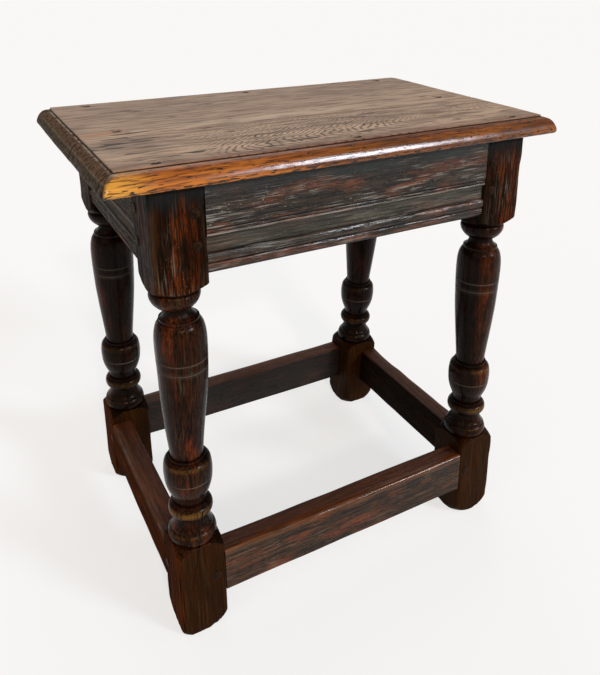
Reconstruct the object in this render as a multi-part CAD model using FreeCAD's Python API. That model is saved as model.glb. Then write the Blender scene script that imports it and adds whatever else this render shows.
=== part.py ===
import FreeCAD, Part
import math
import os

# A joined oak stool, in millimetres.
# The origin is on the floor under the middle of the seat. X runs along the seat, Y from the front to
# the back and Z up. The legs lean in Y only, so that the feet stand wider than the seat.

# Overall sizes
stool_height = 480.0
seat_thickness = 18.5
frame_length = 393.0
frame_width_top = 260.0
frame_width_floor = 297.0
seat_end_overhang = 36.5
seat_side_overhang = 11.0

# Seat: two planks with one moulding run round them
seat_seam_from_middle = 25.0
seat_corner_round = 5.0
moulding_width = 14.0
moulding_step_depth = 2.0
moulding_step_ledge = 1.5
nosing_drop = 10.5
nosing_undercut = 3.5

# Legs: square blocks for the joints, with the lathe work between and beyond them
leg_size = 47.5
leg_arris_round = 2.5
upper_block_below_apron = 15.5
lower_block_above_stretcher = 17.0

# Lathe work: flats round the leg, and how far its facets may stray from the curves of the outline
turning_sides = 18
turning_fineness = 0.7

# Feet and lower blocks
foot_radius = 25.0
foot_middle_radius = 31.0
foot_round_height = 20.0
lower_shoulder_height = 4.0
lower_shoulder_middle_radius = 32.8
lower_shoulder_radius = 30.5

# Torus on the lower block, cove over it, and a ring with its fillet
base_torus_foot_radius = 21.8
base_torus_radius = 23.4
base_torus_height = 12.5
base_quirk_radius = 20.4
base_quirk_height = 1.0
cove_middle_radius = 17.2
cove_radius = 15.6
cove_height = 12.5
ring_radius = 21.2
ring_height = 14.5
ring_fillet_radius = 17.4
ring_fillet_height = 1.5

# Bulb and the lip at its mouth; rows of shares are of its height and of its swelling
bulb_foot_radius = 15.6
bulb_radius = 23.2
bulb_lip_radius = 18.4
bulb_height = 49.0
bulb_growing_shares = ((0.0, 0.0), (0.14, 0.22), (0.45, 0.90))
bulb_closing_shares = ((0.72, 1.0), (0.90, 0.80), (1.0, 0.0))
lip_radius = 17.6
lip_height = 3.0

# Long vase, which takes the height that is left, with rows of shares as on the bulb
vase_foot_radius = 15.8
vase_radius = 23.6
vase_lip_radius = 18.8
vase_growing_shares = ((0.0, 0.0), (0.06, 0.08), (0.36, 0.58), (0.62, 0.91))
vase_closing_shares = ((0.84, 1.0), (0.945, 0.78), (1.0, 0.0))

# Fillet on the vase, cove up to the neck, collar, and the shoulder of the upper block
neck_fillet_radius = 18.0
neck_fillet_height = 3.0
neck_cove_radius = 17.0
neck_cove_middle_radius = 12.9
neck_cove_height = 9.5
neck_radius = 12.4
collar_radius = 21.4
collar_top_radius = 20.2
collar_height = 17.0
upper_shoulder_middle_radius = 32.3
upper_shoulder_height = 24.0

# Rails
rail_thickness = 24.0
rail_arris_round = 1.5
stretcher_worn_round = 4.0
apron_depth = 79.0
stretcher_depth = 49.0
stretcher_height = 39.0

# Moulding run along the aprons, from the lower edge up; a setback is measured from the outer face
apron_foot_width = 8.0
apron_foot_setback = 3.4
apron_foot_middle_setback = 1.4
apron_fillet_width = 0.8
apron_fillet_setback = 1.8
apron_bead_width = 9.4
apron_bead_setback = 0.4
apron_bead_quirk = 2.8
apron_channel_width = 14.6
apron_channel_depth = 3.4
apron_reed_width = 2.9
apron_reed_setback = 0.3
apron_reed_quirk = 1.2
apron_reeds = 2

# Mortise and tenon joints
tenon_thickness = 9.0
tenon_setback = 8.0
tenon_edge_shoulder = 5.0
tenon_haunch = 11.0
tenon_wall = 4.5
tenon_clearance = 0.15
mortise_end_gap = 1.0

# Pegs: riven, eight-sided and tapered, driven into straight-bored holes
peg_sides = 8
peg_radius = 5.0
peg_tip_radius = 4.3
peg_crown = 0.8
peg_crown_radius = 4.0
peg_wall = 3.5
peg_clearance = 0.15
peg_end_gap = 1.0
peg_from_shoulder = 9.0
apron_peg_shares = (0.35, 0.80)
stretcher_peg_shares = (0.5,)

# Seat pegs
seat_peg_radius = 6.2
seat_peg_tip_radius = 5.6
seat_peg_bite = 28.0
seat_peg_inset = 12.0
seat_peg_from_seam = 20.0

# Cutting tools run past the wood by this much
overrun = 6.0

# Worked out from the sizes above
frame_height = stool_height - seat_thickness
half_length = frame_length / 2
half_width_floor = frame_width_floor / 2
half_width_top = frame_width_top / 2
seat_half_length = half_length + seat_end_overhang
seat_half_width = half_width_top + seat_side_overhang
lean = math.atan2(half_width_floor - half_width_top, frame_height)
leg_reach = (frame_height + leg_size * math.sin(lean)) / math.cos(lean)
leg_corner_radius = leg_size / math.sqrt(2)
shoulder_x = half_length - leg_size
shoulder_y = -half_width_floor + leg_size
apron_bottom = frame_height - apron_depth
stretcher_top = stretcher_height + stretcher_depth
upper_block_end = apron_bottom - upper_block_below_apron
lower_block_end = stretcher_top + lower_block_above_stretcher
tenon_length = leg_size - tenon_setback - tenon_thickness - tenon_wall - mortise_end_gap
peg_length = leg_size - peg_from_shoulder - peg_radius - peg_wall
seat_peg_length = seat_thickness + seat_peg_bite

up = FreeCAD.Vector(0, 0, 1)
right = FreeCAD.Vector(1, 0, 0)
inward = FreeCAD.Vector(0, 1, 0)
outward = inward * -1
middle = FreeCAD.Vector(0, 0, 0)
front_foot_line = FreeCAD.Vector(0, -half_width_floor, 0)


# Shapes that several pieces need

def box(low, high):
    """A block between its lowest and its highest corner."""
    size = [high[i] - low[i] for i in range(3)]
    return Part.makeBox(size[0], size[1], size[2], FreeCAD.Vector(*low))


def lines(points):
    """Straight edges from point to point."""
    return [Part.LineSegment(a, b).toShape() for a, b in zip(points, points[1:])]


def arc(start, through, end):
    """A circular edge through three points."""
    return [Part.Arc(start, through, end).toShape()]


def rounded(start, corner, end):
    """A circular edge from start to end that rounds off the corner between them."""
    opposite_corner = start + end - corner
    through = opposite_corner + (corner - opposite_corner) * math.sqrt(0.5)
    return arc(start, through, end)


def prism(edges, direction):
    """The closed outline made of the edges, drawn out along the direction."""
    return Part.Face(Part.Wire(edges)).extrude(direction)


def polygon(corners):
    """A flat face with these corners."""
    return Part.Face(Part.makePolygon(corners + corners[:1]))


def spun(outline, sides):
    """A solid with the outline all round the upright axis, as so many flats side by side."""
    turns = [2 * math.pi * side / sides for side in range(sides)]
    ways = [FreeCAD.Vector(math.cos(turn), math.sin(turn), 0) for turn in turns]
    rings = [[way * point.x + up * point.z for way in ways] for point in outline]
    faces = [polygon(rings[0]), polygon(rings[-1])]
    for low, high in zip(rings, rings[1:]):
        for side in range(sides):
            faces.append(polygon([low[side - 1], low[side], high[side], high[side - 1]]))
    return Part.Solid(Part.Shell(faces))


def rounded_bar(corner, side_a, side_b, radii, direction):
    """A bar of rectangular section with four rounded arrises, one radius for each corner in turn."""
    a = FreeCAD.Vector(side_a).normalize()
    b = FreeCAD.Vector(side_b).normalize()
    corners = [corner, corner + side_a, corner + side_a + side_b, corner + side_b]
    ways = [(b, a), (a * -1, b), (b * -1, a * -1), (a, b * -1)]
    starts = [place + back * radius for place, (back, ahead), radius in zip(corners, ways, radii)]
    ends = [place + ahead * radius for place, (back, ahead), radius in zip(corners, ways, radii)]
    edges = []
    for i in range(4):
        edges += rounded(starts[i], corners[i], ends[i])
        edges += lines([ends[i], starts[(i + 1) % 4]])
    return prism(edges, direction)


def raked(shape):
    """Leans an upright front piece about the line on the floor at its outer face."""
    leaned = shape.copy()
    leaned.rotate(front_foot_line, right, -math.degrees(lean))
    return leaned


def levelled(shape):
    """Keeps what lies between the floor and the underside of the seat."""
    reach = half_length + half_width_floor + overrun
    return shape.common(box((-reach, -reach, 0), (reach, reach, frame_height)))


def turned_about(shape):
    """The same piece at the opposite corner or side of the stool."""
    turned = shape.copy()
    turned.rotate(middle, up, 180)
    return turned


def mirrored(shape):
    """The same piece at the other end of the stool."""
    return shape.mirror(middle, right)


def placed(shape, place, direction):
    """Turns a piece that stands on the origin so that its own upward way points in the direction."""
    moved = shape.copy()
    moved.Placement = FreeCAD.Placement(place, FreeCAD.Rotation(up, direction))
    return moved


# Lathe work

def at(radius, height):
    """A point of a turned outline."""
    return FreeCAD.Vector(radius, 0, height)


def climb(start, steps):
    """Outline edges up from the start. A step is its height, its radius half way up if it is bowed, and the
    radius that it ends at."""
    edges = []
    for height, middle_radius, end_radius in steps:
        end = at(end_radius, start.z + height)
        if middle_radius is None:
            edges += lines([start, end])
        else:
            edges += arc(start, at(middle_radius, start.z + height / 2), end)
        start = end
    return edges, start


def swelling(start, height, radii, growing_shares, closing_shares):
    """A smooth outline that grows from its foot radius to its widest and closes to its lip radius."""
    foot, widest, lip = radii
    points = [at(foot + (widest - foot) * grown, start.z + height * climbed)
              for climbed, grown in growing_shares]
    points += [at(lip + (widest - lip) * left, start.z + height * climbed)
               for climbed, left in closing_shares]
    curve = Part.BSplineCurve()
    curve.interpolate(points)
    return lines([start, points[0]]) + [curve.toShape()], points[-1]


def lathe_work():
    """The whole turned outline from foot to head, spun about the leg's axis."""
    edges, place = climb(at(foot_radius, -overrun), (
        (overrun, None, foot_radius),
        (foot_round_height, foot_middle_radius, leg_corner_radius),
        (lower_block_end - foot_round_height - lower_shoulder_height, None, leg_corner_radius),
        (lower_shoulder_height, lower_shoulder_middle_radius, lower_shoulder_radius),
        (0, None, base_torus_foot_radius),
        (base_torus_height, base_torus_radius, base_quirk_radius),
        (base_quirk_height, None, base_quirk_radius),
        (cove_height, cove_middle_radius, cove_radius),
        (ring_height, ring_radius, ring_fillet_radius),
        (ring_fillet_height, None, ring_fillet_radius),
    ))
    more, place = swelling(place, bulb_height, (bulb_foot_radius, bulb_radius, bulb_lip_radius),
                           bulb_growing_shares, bulb_closing_shares)
    edges += more
    more, place = climb(place, ((0, None, lip_radius), (lip_height, None, lip_radius)))
    edges += more
    vase_height = upper_block_end - neck_fillet_height - neck_cove_height - collar_height - place.z
    more, place = swelling(place, vase_height, (vase_foot_radius, vase_radius, vase_lip_radius),
                           vase_growing_shares, vase_closing_shares)
    edges += more
    more, place = climb(place, (
        (0, None, neck_fillet_radius),
        (neck_fillet_height, None, neck_fillet_radius),
        (0, None, neck_cove_radius),
        (neck_cove_height, neck_cove_middle_radius, neck_radius),
        (collar_height, collar_radius, collar_top_radius),
        (upper_shoulder_height, upper_shoulder_middle_radius, leg_corner_radius),
        (leg_reach - upper_block_end - upper_shoulder_height + overrun, None, leg_corner_radius),
    ))
    edges += more
    outline = []
    for edge in edges:
        outline += edge.discretize(QuasiDeflection=turning_fineness)[:-1]
    return spun(outline + [place], turning_sides)


# Rails and their joints

def tenon_heights(bottom, depth, haunch):
    """Where a rail's tenon starts and ends, clear of its upper and lower edges."""
    return bottom + tenon_edge_shoulder, bottom + depth - haunch


def front_tenon(bottom, depth, haunch, room=0.0, end_room=0.0):
    """The upright tenon at the right end of a front rail; room makes it the mortise."""
    low, high = tenon_heights(bottom, depth, haunch)
    outer = -half_width_floor + tenon_setback
    start = shoulder_x - (overrun if not room else 0)
    return box((start, outer - room, low - room),
               (shoulder_x + tenon_length + end_room, outer + tenon_thickness + room, high + room))


def before_leaning_plane(distance):
    """All that lies in front of a leaning plane, a distance behind the outer faces of the front legs."""
    reach = leg_reach + frame_width_floor
    return raked(box((-reach, -reach, -reach), (reach, -half_width_floor + distance, reach)))


def end_tenon(bottom, depth, haunch, room=0.0, end_room=0.0):
    """The tenon at the front of a right-hand rail; its end is parallel to the leaning leg."""
    low, high = tenon_heights(bottom, depth, haunch)
    outer = half_length - tenon_setback
    bar = box((outer - tenon_thickness - room, -half_width_floor, low - room),
              (outer + room, 0, high + room))
    bar = bar.cut(before_leaning_plane(leg_size - tenon_length - end_room))
    keep = before_leaning_plane(leg_size + (0 if room else overrun))
    return bar.common(keep)


def moulded_bar(outer_face, into_rail, bottom, top, direction):
    """An apron's bar: foot, fillet, bead, sunk channel and reeds, then the plain face up to the top."""
    def point(setback, height):
        return outer_face + into_rail * setback + up * height

    foot_top = bottom + apron_foot_width
    bead_foot = foot_top + apron_fillet_width
    bead_top = bead_foot + apron_bead_width
    channel_top = bead_top + apron_channel_width
    edges = arc(point(apron_foot_setback, bottom),
                point(apron_foot_middle_setback, (bottom + foot_top) / 2),
                point(apron_fillet_setback, foot_top))
    edges += lines([point(apron_fillet_setback, foot_top), point(apron_bead_quirk, bead_foot)])
    edges += arc(point(apron_bead_quirk, bead_foot),
                 point(apron_bead_setback, (bead_foot + bead_top) / 2),
                 point(apron_channel_depth, bead_top))
    edges += lines([point(apron_channel_depth, bead_top), point(apron_channel_depth, channel_top),
                    point(apron_reed_quirk, channel_top)])
    for reed in range(apron_reeds):
        foot = channel_top + apron_reed_width * reed
        edges += arc(point(apron_reed_quirk, foot),
                     point(apron_reed_setback, foot + apron_reed_width / 2),
                     point(apron_reed_quirk, foot + apron_reed_width))
    reeds_top = channel_top + apron_reed_width * apron_reeds
    edges += lines([point(apron_reed_quirk, reeds_top), point(0, reeds_top + apron_reed_quirk),
                    point(0, top), point(rail_thickness, top), point(rail_thickness, bottom),
                    point(apron_foot_setback, bottom)])
    return prism(edges, direction)


def worn_bar(outer_face, into_rail, bottom, top, direction):
    """A stretcher's bar, with its upper outer edge worn round by feet."""
    radii = (rail_arris_round, rail_arris_round, rail_arris_round, stretcher_worn_round)
    across = into_rail * rail_thickness
    return rounded_bar(outer_face + up * bottom, across, up * (top - bottom), radii, direction)


def peg_heights(bottom, depth, haunch, shares):
    """The heights of the pegs that hold one tenon."""
    low, high = tenon_heights(bottom, depth, haunch)
    return [low + (high - low) * share for share in shares]


def front_peg_heads(bottom, depth, haunch, shares):
    """Head places, on the right front leg, of the pegs through a front rail's tenon."""
    return [FreeCAD.Vector(shoulder_x + peg_from_shoulder, -half_width_floor, z)
            for z in peg_heights(bottom, depth, haunch, shares)]


def end_peg_heads(bottom, depth, haunch, shares):
    """Head places, on the right front leg, of the pegs through a right-hand rail's tenon."""
    return [FreeCAD.Vector(half_length, shoulder_y - peg_from_shoulder, z)
            for z in peg_heights(bottom, depth, haunch, shares)]


def peg_hole(radius, length, head, direction):
    """A straight hole with room for a peg, from outside its head to past its tip."""
    width = radius + peg_clearance
    hole = spun([at(width, -length - peg_end_gap), at(width, overrun)], peg_sides)
    return placed(hole, head, direction)


peg_outline = [at(peg_tip_radius, -peg_length), at(peg_radius, 0), at(peg_crown_radius, peg_crown)]
joint_peg = spun(peg_outline, peg_sides)
apron_joint = (apron_bottom, apron_depth, tenon_haunch)
stretcher_joint = (stretcher_height, stretcher_depth, tenon_edge_shoulder)
joints = ((apron_joint, apron_peg_shares), (stretcher_joint, stretcher_peg_shares))


def seat_peg_places():
    """Where the seat is pegged: near its corners, and at the middle of each side."""
    x = half_length - seat_peg_inset
    y = half_width_top - seat_peg_inset
    beside_seam = seat_peg_from_seam - seat_seam_from_middle
    places = [(side * x, way * y) for way in (-1, 1) for side in (-1, 0, 1)]
    places += [(-x, beside_seam), (x, beside_seam)]
    return [FreeCAD.Vector(px, py, stool_height) for px, py in places]


def seat_peg_holes():
    """Straight holes down through the planks into the frame."""
    places = seat_peg_places()
    return Part.Compound([peg_hole(seat_peg_radius, seat_peg_length, place, up) for place in places])


def leg_front_right():
    """The right front leg with its mortises and peg holes."""
    corner = FreeCAD.Vector(shoulder_x, -half_width_floor, -overrun)
    blank = rounded_bar(corner, right * leg_size, inward * leg_size, [leg_arris_round] * 4,
                        up * (leg_reach + overrun * 2))
    turning = lathe_work()
    turning.translate(FreeCAD.Vector(half_length - leg_size / 2, -half_width_floor + leg_size / 2, 0))
    leg = blank.common(turning)
    for joint, shares in joints:
        leg = leg.cut(front_tenon(*joint, room=tenon_clearance, end_room=mortise_end_gap))
        for head in front_peg_heads(*joint, shares):
            leg = leg.cut(peg_hole(peg_radius, peg_length, head, outward))
        for head in end_peg_heads(*joint, shares):
            leg = leg.cut(peg_hole(peg_radius, peg_length, head, right))
    leg = levelled(raked(leg))
    for joint, shares in joints:
        leg = leg.cut(end_tenon(*joint, room=tenon_clearance, end_room=mortise_end_gap))
    return leg.cut(seat_peg_holes())


def front_rail(section, joint, shares, blank_top):
    """A front rail with its two tenons and their peg holes, leaning with the legs."""
    outer_face = FreeCAD.Vector(-shoulder_x, -half_width_floor, 0)
    bottom = joint[0]
    rail = section(outer_face, inward, bottom, blank_top, right * (shoulder_x * 2))
    tenon = front_tenon(*joint)
    for head in front_peg_heads(*joint, shares):
        tenon = tenon.cut(peg_hole(peg_radius, peg_length, head, outward))
    rail = rail.fuse([tenon, mirrored(tenon)])
    return levelled(raked(rail)).removeSplitter()


def end_rail(section, joint, shares):
    """A right-hand rail; its shoulders are cut to the lean of the legs."""
    bottom, depth, haunch = joint
    outer_face = FreeCAD.Vector(half_length, -half_width_floor, 0)
    rail = section(outer_face, right * -1, bottom, bottom + depth, inward * frame_width_floor)
    beyond_front = before_leaning_plane(leg_size)
    rail = rail.cut(beyond_front).cut(turned_about(beyond_front))
    tenon = end_tenon(*joint)
    for head in end_peg_heads(*joint, shares):
        tenon = tenon.cut(raked(peg_hole(peg_radius, peg_length, head, right)))
    back_tenon = tenon.mirror(middle, inward)
    return rail.fuse([tenon, back_tenon]).removeSplitter()


def front_pegs(joint, shares):
    """The pegs of a front rail, at its right and its left end."""
    pegs = [raked(placed(joint_peg, head, outward)) for head in front_peg_heads(*joint, shares)]
    return pegs + [mirrored(one) for one in pegs]


def end_pegs(joint, shares):
    """The pegs of a right-hand rail, at its front and its back end."""
    pegs = [raked(placed(joint_peg, head, right)) for head in end_peg_heads(*joint, shares)]
    return pegs + [one.mirror(middle, inward) for one in pegs]


# Seat

def edge_cutter(half_side, half_run):
    """What the plane takes off one long edge: the step, the rounded moulding and the undercut."""
    def point(from_edge, height):
        return FreeCAD.Vector(-half_run - overrun, -half_side + from_edge, height)

    top = stool_height
    step = top - moulding_step_depth
    nose = top - nosing_drop
    ledge = moulding_width - moulding_step_ledge
    edges = lines([point(-overrun, top + overrun), point(moulding_width, top + overrun),
                   point(moulding_width, step), point(ledge, step)])
    edges += rounded(point(ledge, step), point(0, step), point(0, nose))
    edges += rounded(point(0, nose), point(0, frame_height), point(nosing_undercut, frame_height))
    edges += lines([point(nosing_undercut, frame_height), point(nosing_undercut, frame_height - overrun),
                    point(-overrun, frame_height - overrun), point(-overrun, top + overrun)])
    return prism(edges, right * ((half_run + overrun) * 2))


def seat_board():
    """The moulded board before it is parted at the seam."""
    corner = FreeCAD.Vector(-seat_half_length, -seat_half_width, frame_height)
    board = rounded_bar(corner, right * (seat_half_length * 2), inward * (seat_half_width * 2),
                        [seat_corner_round] * 4, up * seat_thickness)
    long_cutter = edge_cutter(seat_half_width, seat_half_length)
    end_cutter = edge_cutter(seat_half_length, seat_half_width)
    end_cutter.rotate(middle, up, 90)
    for cutter in (long_cutter, end_cutter):
        board = board.cut(cutter).cut(turned_about(cutter))
    return board.cut(seat_peg_holes())


def seat_planks():
    """The front and the back plank, laid edge to edge at the seam."""
    board = seat_board()
    reach = seat_half_length + seat_half_width
    in_front = box((-reach, -reach, 0), (reach, -seat_seam_from_middle, stool_height + overrun))
    return board.common(in_front), board.cut(in_front)


def seat_pegs():
    """The pegs that hold the seat, with their heads worn flush."""
    one = spun([at(seat_peg_tip_radius, -seat_peg_length), at(seat_peg_radius, 0)], peg_sides)
    return [placed(one, place, up) for place in seat_peg_places()]


# Every piece by name

plank_front, plank_back = seat_planks()
leg_right = leg_front_right()
leg_left = mirrored(leg_right)
holes = seat_peg_holes()
apron_front = front_rail(moulded_bar, apron_joint, apron_peg_shares, leg_reach + overrun).cut(holes)
apron_right = end_rail(moulded_bar, apron_joint, apron_peg_shares).cut(holes)
stretcher_front = front_rail(worn_bar, stretcher_joint, stretcher_peg_shares, stretcher_top)
stretcher_right = end_rail(worn_bar, stretcher_joint, stretcher_peg_shares)

pieces = {
    "seat_plank_front": [plank_front],
    "seat_plank_back": [plank_back],
    "leg_front_right": [leg_right],
    "leg_front_left": [leg_left],
    "leg_back_left": [turned_about(leg_right)],
    "leg_back_right": [turned_about(leg_left)],
    "apron_front": [apron_front],
    "apron_back": [turned_about(apron_front)],
    "apron_right": [apron_right],
    "apron_left": [mirrored(apron_right)],
    "stretcher_front": [stretcher_front],
    "stretcher_back": [turned_about(stretcher_front)],
    "stretcher_right": [stretcher_right],
    "stretcher_left": [mirrored(stretcher_right)],
    "seat_pegs": seat_pegs(),
}
for rail, (joint, shares) in zip(("apron", "stretcher"), joints):
    at_front = front_pegs(joint, shares)
    at_right = end_pegs(joint, shares)
    pieces[rail + "_front_pegs"] = at_front
    pieces[rail + "_back_pegs"] = [turned_about(one) for one in at_front]
    pieces[rail + "_right_pegs"] = at_right
    pieces[rail + "_left_pegs"] = [mirrored(one) for one in at_right]

os.makedirs("parts", exist_ok=True)
for name, solids in pieces.items():
    found = [solid for shape in solids for solid in shape.Solids]
    shape = found[0] if len(found) == 1 else Part.Compound(found)
    shape.exportStep("parts/" + name + ".step")
    print(name, len(found), "solids, volume", round(shape.Volume), "valid", shape.isValid())
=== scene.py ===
import math

import bmesh
import bpy
import numpy as np
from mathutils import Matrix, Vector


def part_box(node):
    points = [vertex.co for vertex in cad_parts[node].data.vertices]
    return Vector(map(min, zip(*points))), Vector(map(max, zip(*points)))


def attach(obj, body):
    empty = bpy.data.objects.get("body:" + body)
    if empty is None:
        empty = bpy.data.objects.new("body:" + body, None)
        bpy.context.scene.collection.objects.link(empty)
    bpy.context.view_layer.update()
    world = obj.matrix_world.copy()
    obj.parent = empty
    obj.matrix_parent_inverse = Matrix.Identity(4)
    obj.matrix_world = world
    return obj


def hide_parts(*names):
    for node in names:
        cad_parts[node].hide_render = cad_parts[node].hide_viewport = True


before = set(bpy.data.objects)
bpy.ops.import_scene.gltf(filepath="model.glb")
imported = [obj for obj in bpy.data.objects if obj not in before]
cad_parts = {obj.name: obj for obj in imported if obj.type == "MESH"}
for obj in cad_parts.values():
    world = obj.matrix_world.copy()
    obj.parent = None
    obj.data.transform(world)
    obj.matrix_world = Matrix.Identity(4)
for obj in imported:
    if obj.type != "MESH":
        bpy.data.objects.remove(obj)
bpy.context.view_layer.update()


# Legs
# Four baluster legs, each turned from one length of oak 47.5 mm square, with square blocks left where
# the rails are tenoned in. They lean inwards from foot to seat, across the depth of the stool only.

mm = 0.001
leg_side = 47.5 * mm
seat_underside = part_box("seat_plank_front")[0].z
foot_face_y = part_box("leg_front_left")[0].y
leg_face_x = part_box("leg_front_right")[1].x
leg_head_inset = 18.5 * mm
rake = math.atan2(leg_head_inset, seat_underside)
block_rounding = 2.2 * mm
foot_height = 20 * mm
lower_block_top = 105 * mm
upper_block_foot = 367 * mm
lower_shoulder = 13 * mm
upper_shoulder = 22 * mm
outer_arris_reach = 6 * mm
outer_arris_heights = (upper_block_foot + 1 * mm, upper_block_foot + 14 * mm)
crook_leaves = (215 * mm, 295 * mm)
crook_returns = (340 * mm, 352 * mm)
corner_radius = leg_side / math.sqrt(2)
leg_length = (seat_underside + leg_side * math.sin(rake)) / math.cos(rake)


def hashed(cell_a, cell_b, seed):
    """A fixed random number from 0 to 1 for each whole-numbered cell: the fraction of a large sine."""
    value = np.sin(cell_a * 127.1 + cell_b * 311.7 + seed * 74.7) * 43758.5453
    return value - np.floor(value)


def waviness(a, b, seed):
    """Smooth noise from -1 to 1: random numbers on whole a and b, blended between them by a cubic step."""
    cell_a, cell_b = np.floor(a), np.floor(b)
    step_a, step_b = a - cell_a, b - cell_b
    step_a, step_b = step_a ** 2 * (3 - 2 * step_a), step_b ** 2 * (3 - 2 * step_b)
    near = hashed(cell_a, cell_b, seed) * (1 - step_a) + hashed(cell_a + 1, cell_b, seed) * step_a
    far = hashed(cell_a, cell_b + 1, seed) * (1 - step_a) + hashed(cell_a + 1, cell_b + 1, seed) * step_a
    return (near * (1 - step_b) + far * step_b) * 2 - 1


def eased(value, low, high):
    """A share from 0 at low to 1 at high along a cubic step."""
    t = np.clip((value - low) / (high - low), 0, 1)
    return t ** 2 * (3 - 2 * t)


def ring_mesh(name, rings, grain, marks, fold_angle=38):
    """Closed bodies from rings of points: quads between neighbours, and each first and last ring as a flat
    end. grain is each point's place in the timber, along the fibres first; marks are shares kept there."""
    count, around = rings.shape[-3:-1]
    index = np.arange(rings.size // 3).reshape(-1, count, around)
    beside = np.roll(index, -1, axis=2)
    quads = np.stack([index[:, :-1], beside[:, :-1], beside[:, 1:], index[:, 1:]], axis=-1).reshape(-1, 4)
    ends = index[:, 0, ::-1].tolist() + index[:, -1].tolist()
    mesh = bpy.data.meshes.new(name)
    mesh.from_pydata(rings.reshape(-1, 3).tolist(), [], quads.tolist() + ends)
    place = mesh.attributes.new("grain", "FLOAT_VECTOR", "POINT")
    place.data.foreach_set("vector", np.ascontiguousarray(grain, np.float32).ravel())
    for mark, share in marks.items():
        kept = mesh.attributes.new(mark, "FLOAT", "POINT")
        kept.data.foreach_set("value", np.ascontiguousarray(share, np.float32).ravel())
    return tidy_piece(name, mesh, fold_angle)


def tidy_piece(name, mesh, fold_angle):
    """Merges points that coincide, turns the faces outwards, keeps folds above the angle crisp, links it."""
    work = bmesh.new()
    work.from_mesh(mesh)
    bmesh.ops.remove_doubles(work, verts=work.verts, dist=0.001 * mm)
    bmesh.ops.recalc_face_normals(work, faces=work.faces)
    work.to_mesh(mesh)
    work.free()
    mesh.shade_smooth()
    mesh.set_sharp_from_angle(angle=math.radians(fold_angle))
    piece = bpy.data.objects.new(name, mesh)
    bpy.context.scene.collection.objects.link(piece)
    return piece


def bowed(start, end, middle, fullness=0.75, steps=9):
    """Points from start to end whose radius bows by a rounded hump to the middle radius half way up."""
    t = np.linspace(0, 1, steps)
    hump = (1 - (2 * t - 1) ** 2) ** fullness
    radius = start[0] + (end[0] - start[0]) * t + (middle - (start[0] + end[0]) / 2) * hump
    return np.stack([radius, start[1] + (end[1] - start[1]) * t], axis=1)


def smooth_through(points, steps=6):
    """A curve of cubic pieces through the points, each leaving along the line of its neighbours."""
    p = np.vstack([2 * points[0] - points[1], points, 2 * points[-1] - points[-2]])
    before, start, end, after = p[:-3, None], p[1:-2, None], p[2:-1, None], p[3:, None]
    t = np.linspace(0, 1, steps, endpoint=False)[None, :, None]
    spans = 0.5 * (2 * start + (end - before) * t + (2 * before - 5 * start + 4 * end - after) * t ** 2
                   + (3 * start - before - 3 * end + after) * t ** 3)
    return np.vstack([spans.reshape(-1, 2), points[-1:]])


def scribed(points, height, width=0.8 * mm, depth=0.4 * mm):
    """Cuts a fine groove round the turning at a height, by pulling in extra points of the outline there."""
    levels = height + width * np.array([-0.6, -0.25, 0.0, 0.25, 0.6])
    radius = np.interp(levels, points[:, 1], points[:, 0]) - depth * np.array([0, 0.8, 1, 0.8, 0])
    keep = np.abs(points[:, 1] - height) > width * 0.6
    merged = np.vstack([points[keep], np.stack([radius, levels], axis=1)])
    return merged[np.argsort(merged[:, 1], kind="stable")]


def leg_outline():
    """Radius and height up the leg: foot, block, torus, cove, ring, bulb, vase, neck, collar and block, and
    the heights of its scribed lines."""
    block_start = lower_block_top - lower_shoulder
    foot = bowed((23.5 * mm, 0), (corner_radius, foot_height), 31.3 * mm)
    lower = np.linspace((corner_radius, foot_height), (corner_radius, block_start), 34)
    shoulder = bowed((corner_radius, block_start), (24 * mm, lower_block_top), 31.5 * mm, steps=11)
    z = lower_block_top
    torus = bowed((21.6 * mm, z), (20.4 * mm, z + 12.5 * mm), 23.6 * mm, fullness=0.6)
    z += 13.5 * mm
    cove = bowed((20.4 * mm, z), (15.8 * mm, z + 12.5 * mm), 17.0 * mm, fullness=0.8)
    z += 12.5 * mm
    ring = bowed((15.8 * mm, z), (17.4 * mm, z + 14.5 * mm), 21.4 * mm, fullness=0.62, steps=13)
    fillet = np.array([(17.4, 14.5), (17.4, 16)]) * mm + (0, z)
    z += 16 * mm
    bulb = smooth_through(np.array([(15.6, 0), (17.2, 7), (20.2, 14.5), (22.4, 23), (23.2, 35), (22.2, 44.2),
                                    (20.4, 47.6), (18.4, 49)]) * mm + (0, z))
    lines = [z + 27.5 * mm]
    bulb = scribed(bulb, lines[0])
    z += 49 * mm
    lip = np.array([(17.6, 0), (17.6, 3)]) * mm + (0, z)
    z += 3 * mm
    rise = upper_block_foot - 29.5 * mm - z
    vase_points = np.array([(15.8, 0.0), (16.4, 0.06), (18.2, 0.2), (20.3, 0.36), (22.1, 0.52), (23.2, 0.70),
                            (23.6, 0.83), (23.1, 0.91), (21.4, 0.968), (18.8, 1.0)])
    vase = smooth_through(vase_points * (mm, rise) + (0, z))
    for drop in (36 * mm, 45.5 * mm):
        lines.append(z + rise - drop)
        vase = scribed(vase, lines[-1])
    z += rise
    neck = np.array([(18, 0), (18, 3)]) * mm + (0, z)
    z += 3 * mm
    neck_cove = bowed((17 * mm, z), (12.6 * mm, z + 9.5 * mm), 13.0 * mm, fullness=0.8)
    z += 9.5 * mm
    collar = bowed((12.6 * mm, z), (20.2 * mm, z + 17 * mm), 21.6 * mm, fullness=0.62, steps=13)
    block_end = upper_block_foot + upper_shoulder
    head = bowed((20.2 * mm, upper_block_foot), (corner_radius, block_end), 32.0 * mm, steps=17)
    upper = np.linspace((corner_radius, block_end), (corner_radius, leg_length + 2 * mm), 34)
    parts = [foot, lower[1:-1], shoulder, torus, cove, ring[1:], fillet[1:], bulb, lip, vase,
             neck, neck_cove, collar[1:], head[1:], upper[1:]]
    return np.vstack(parts), lines


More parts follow.
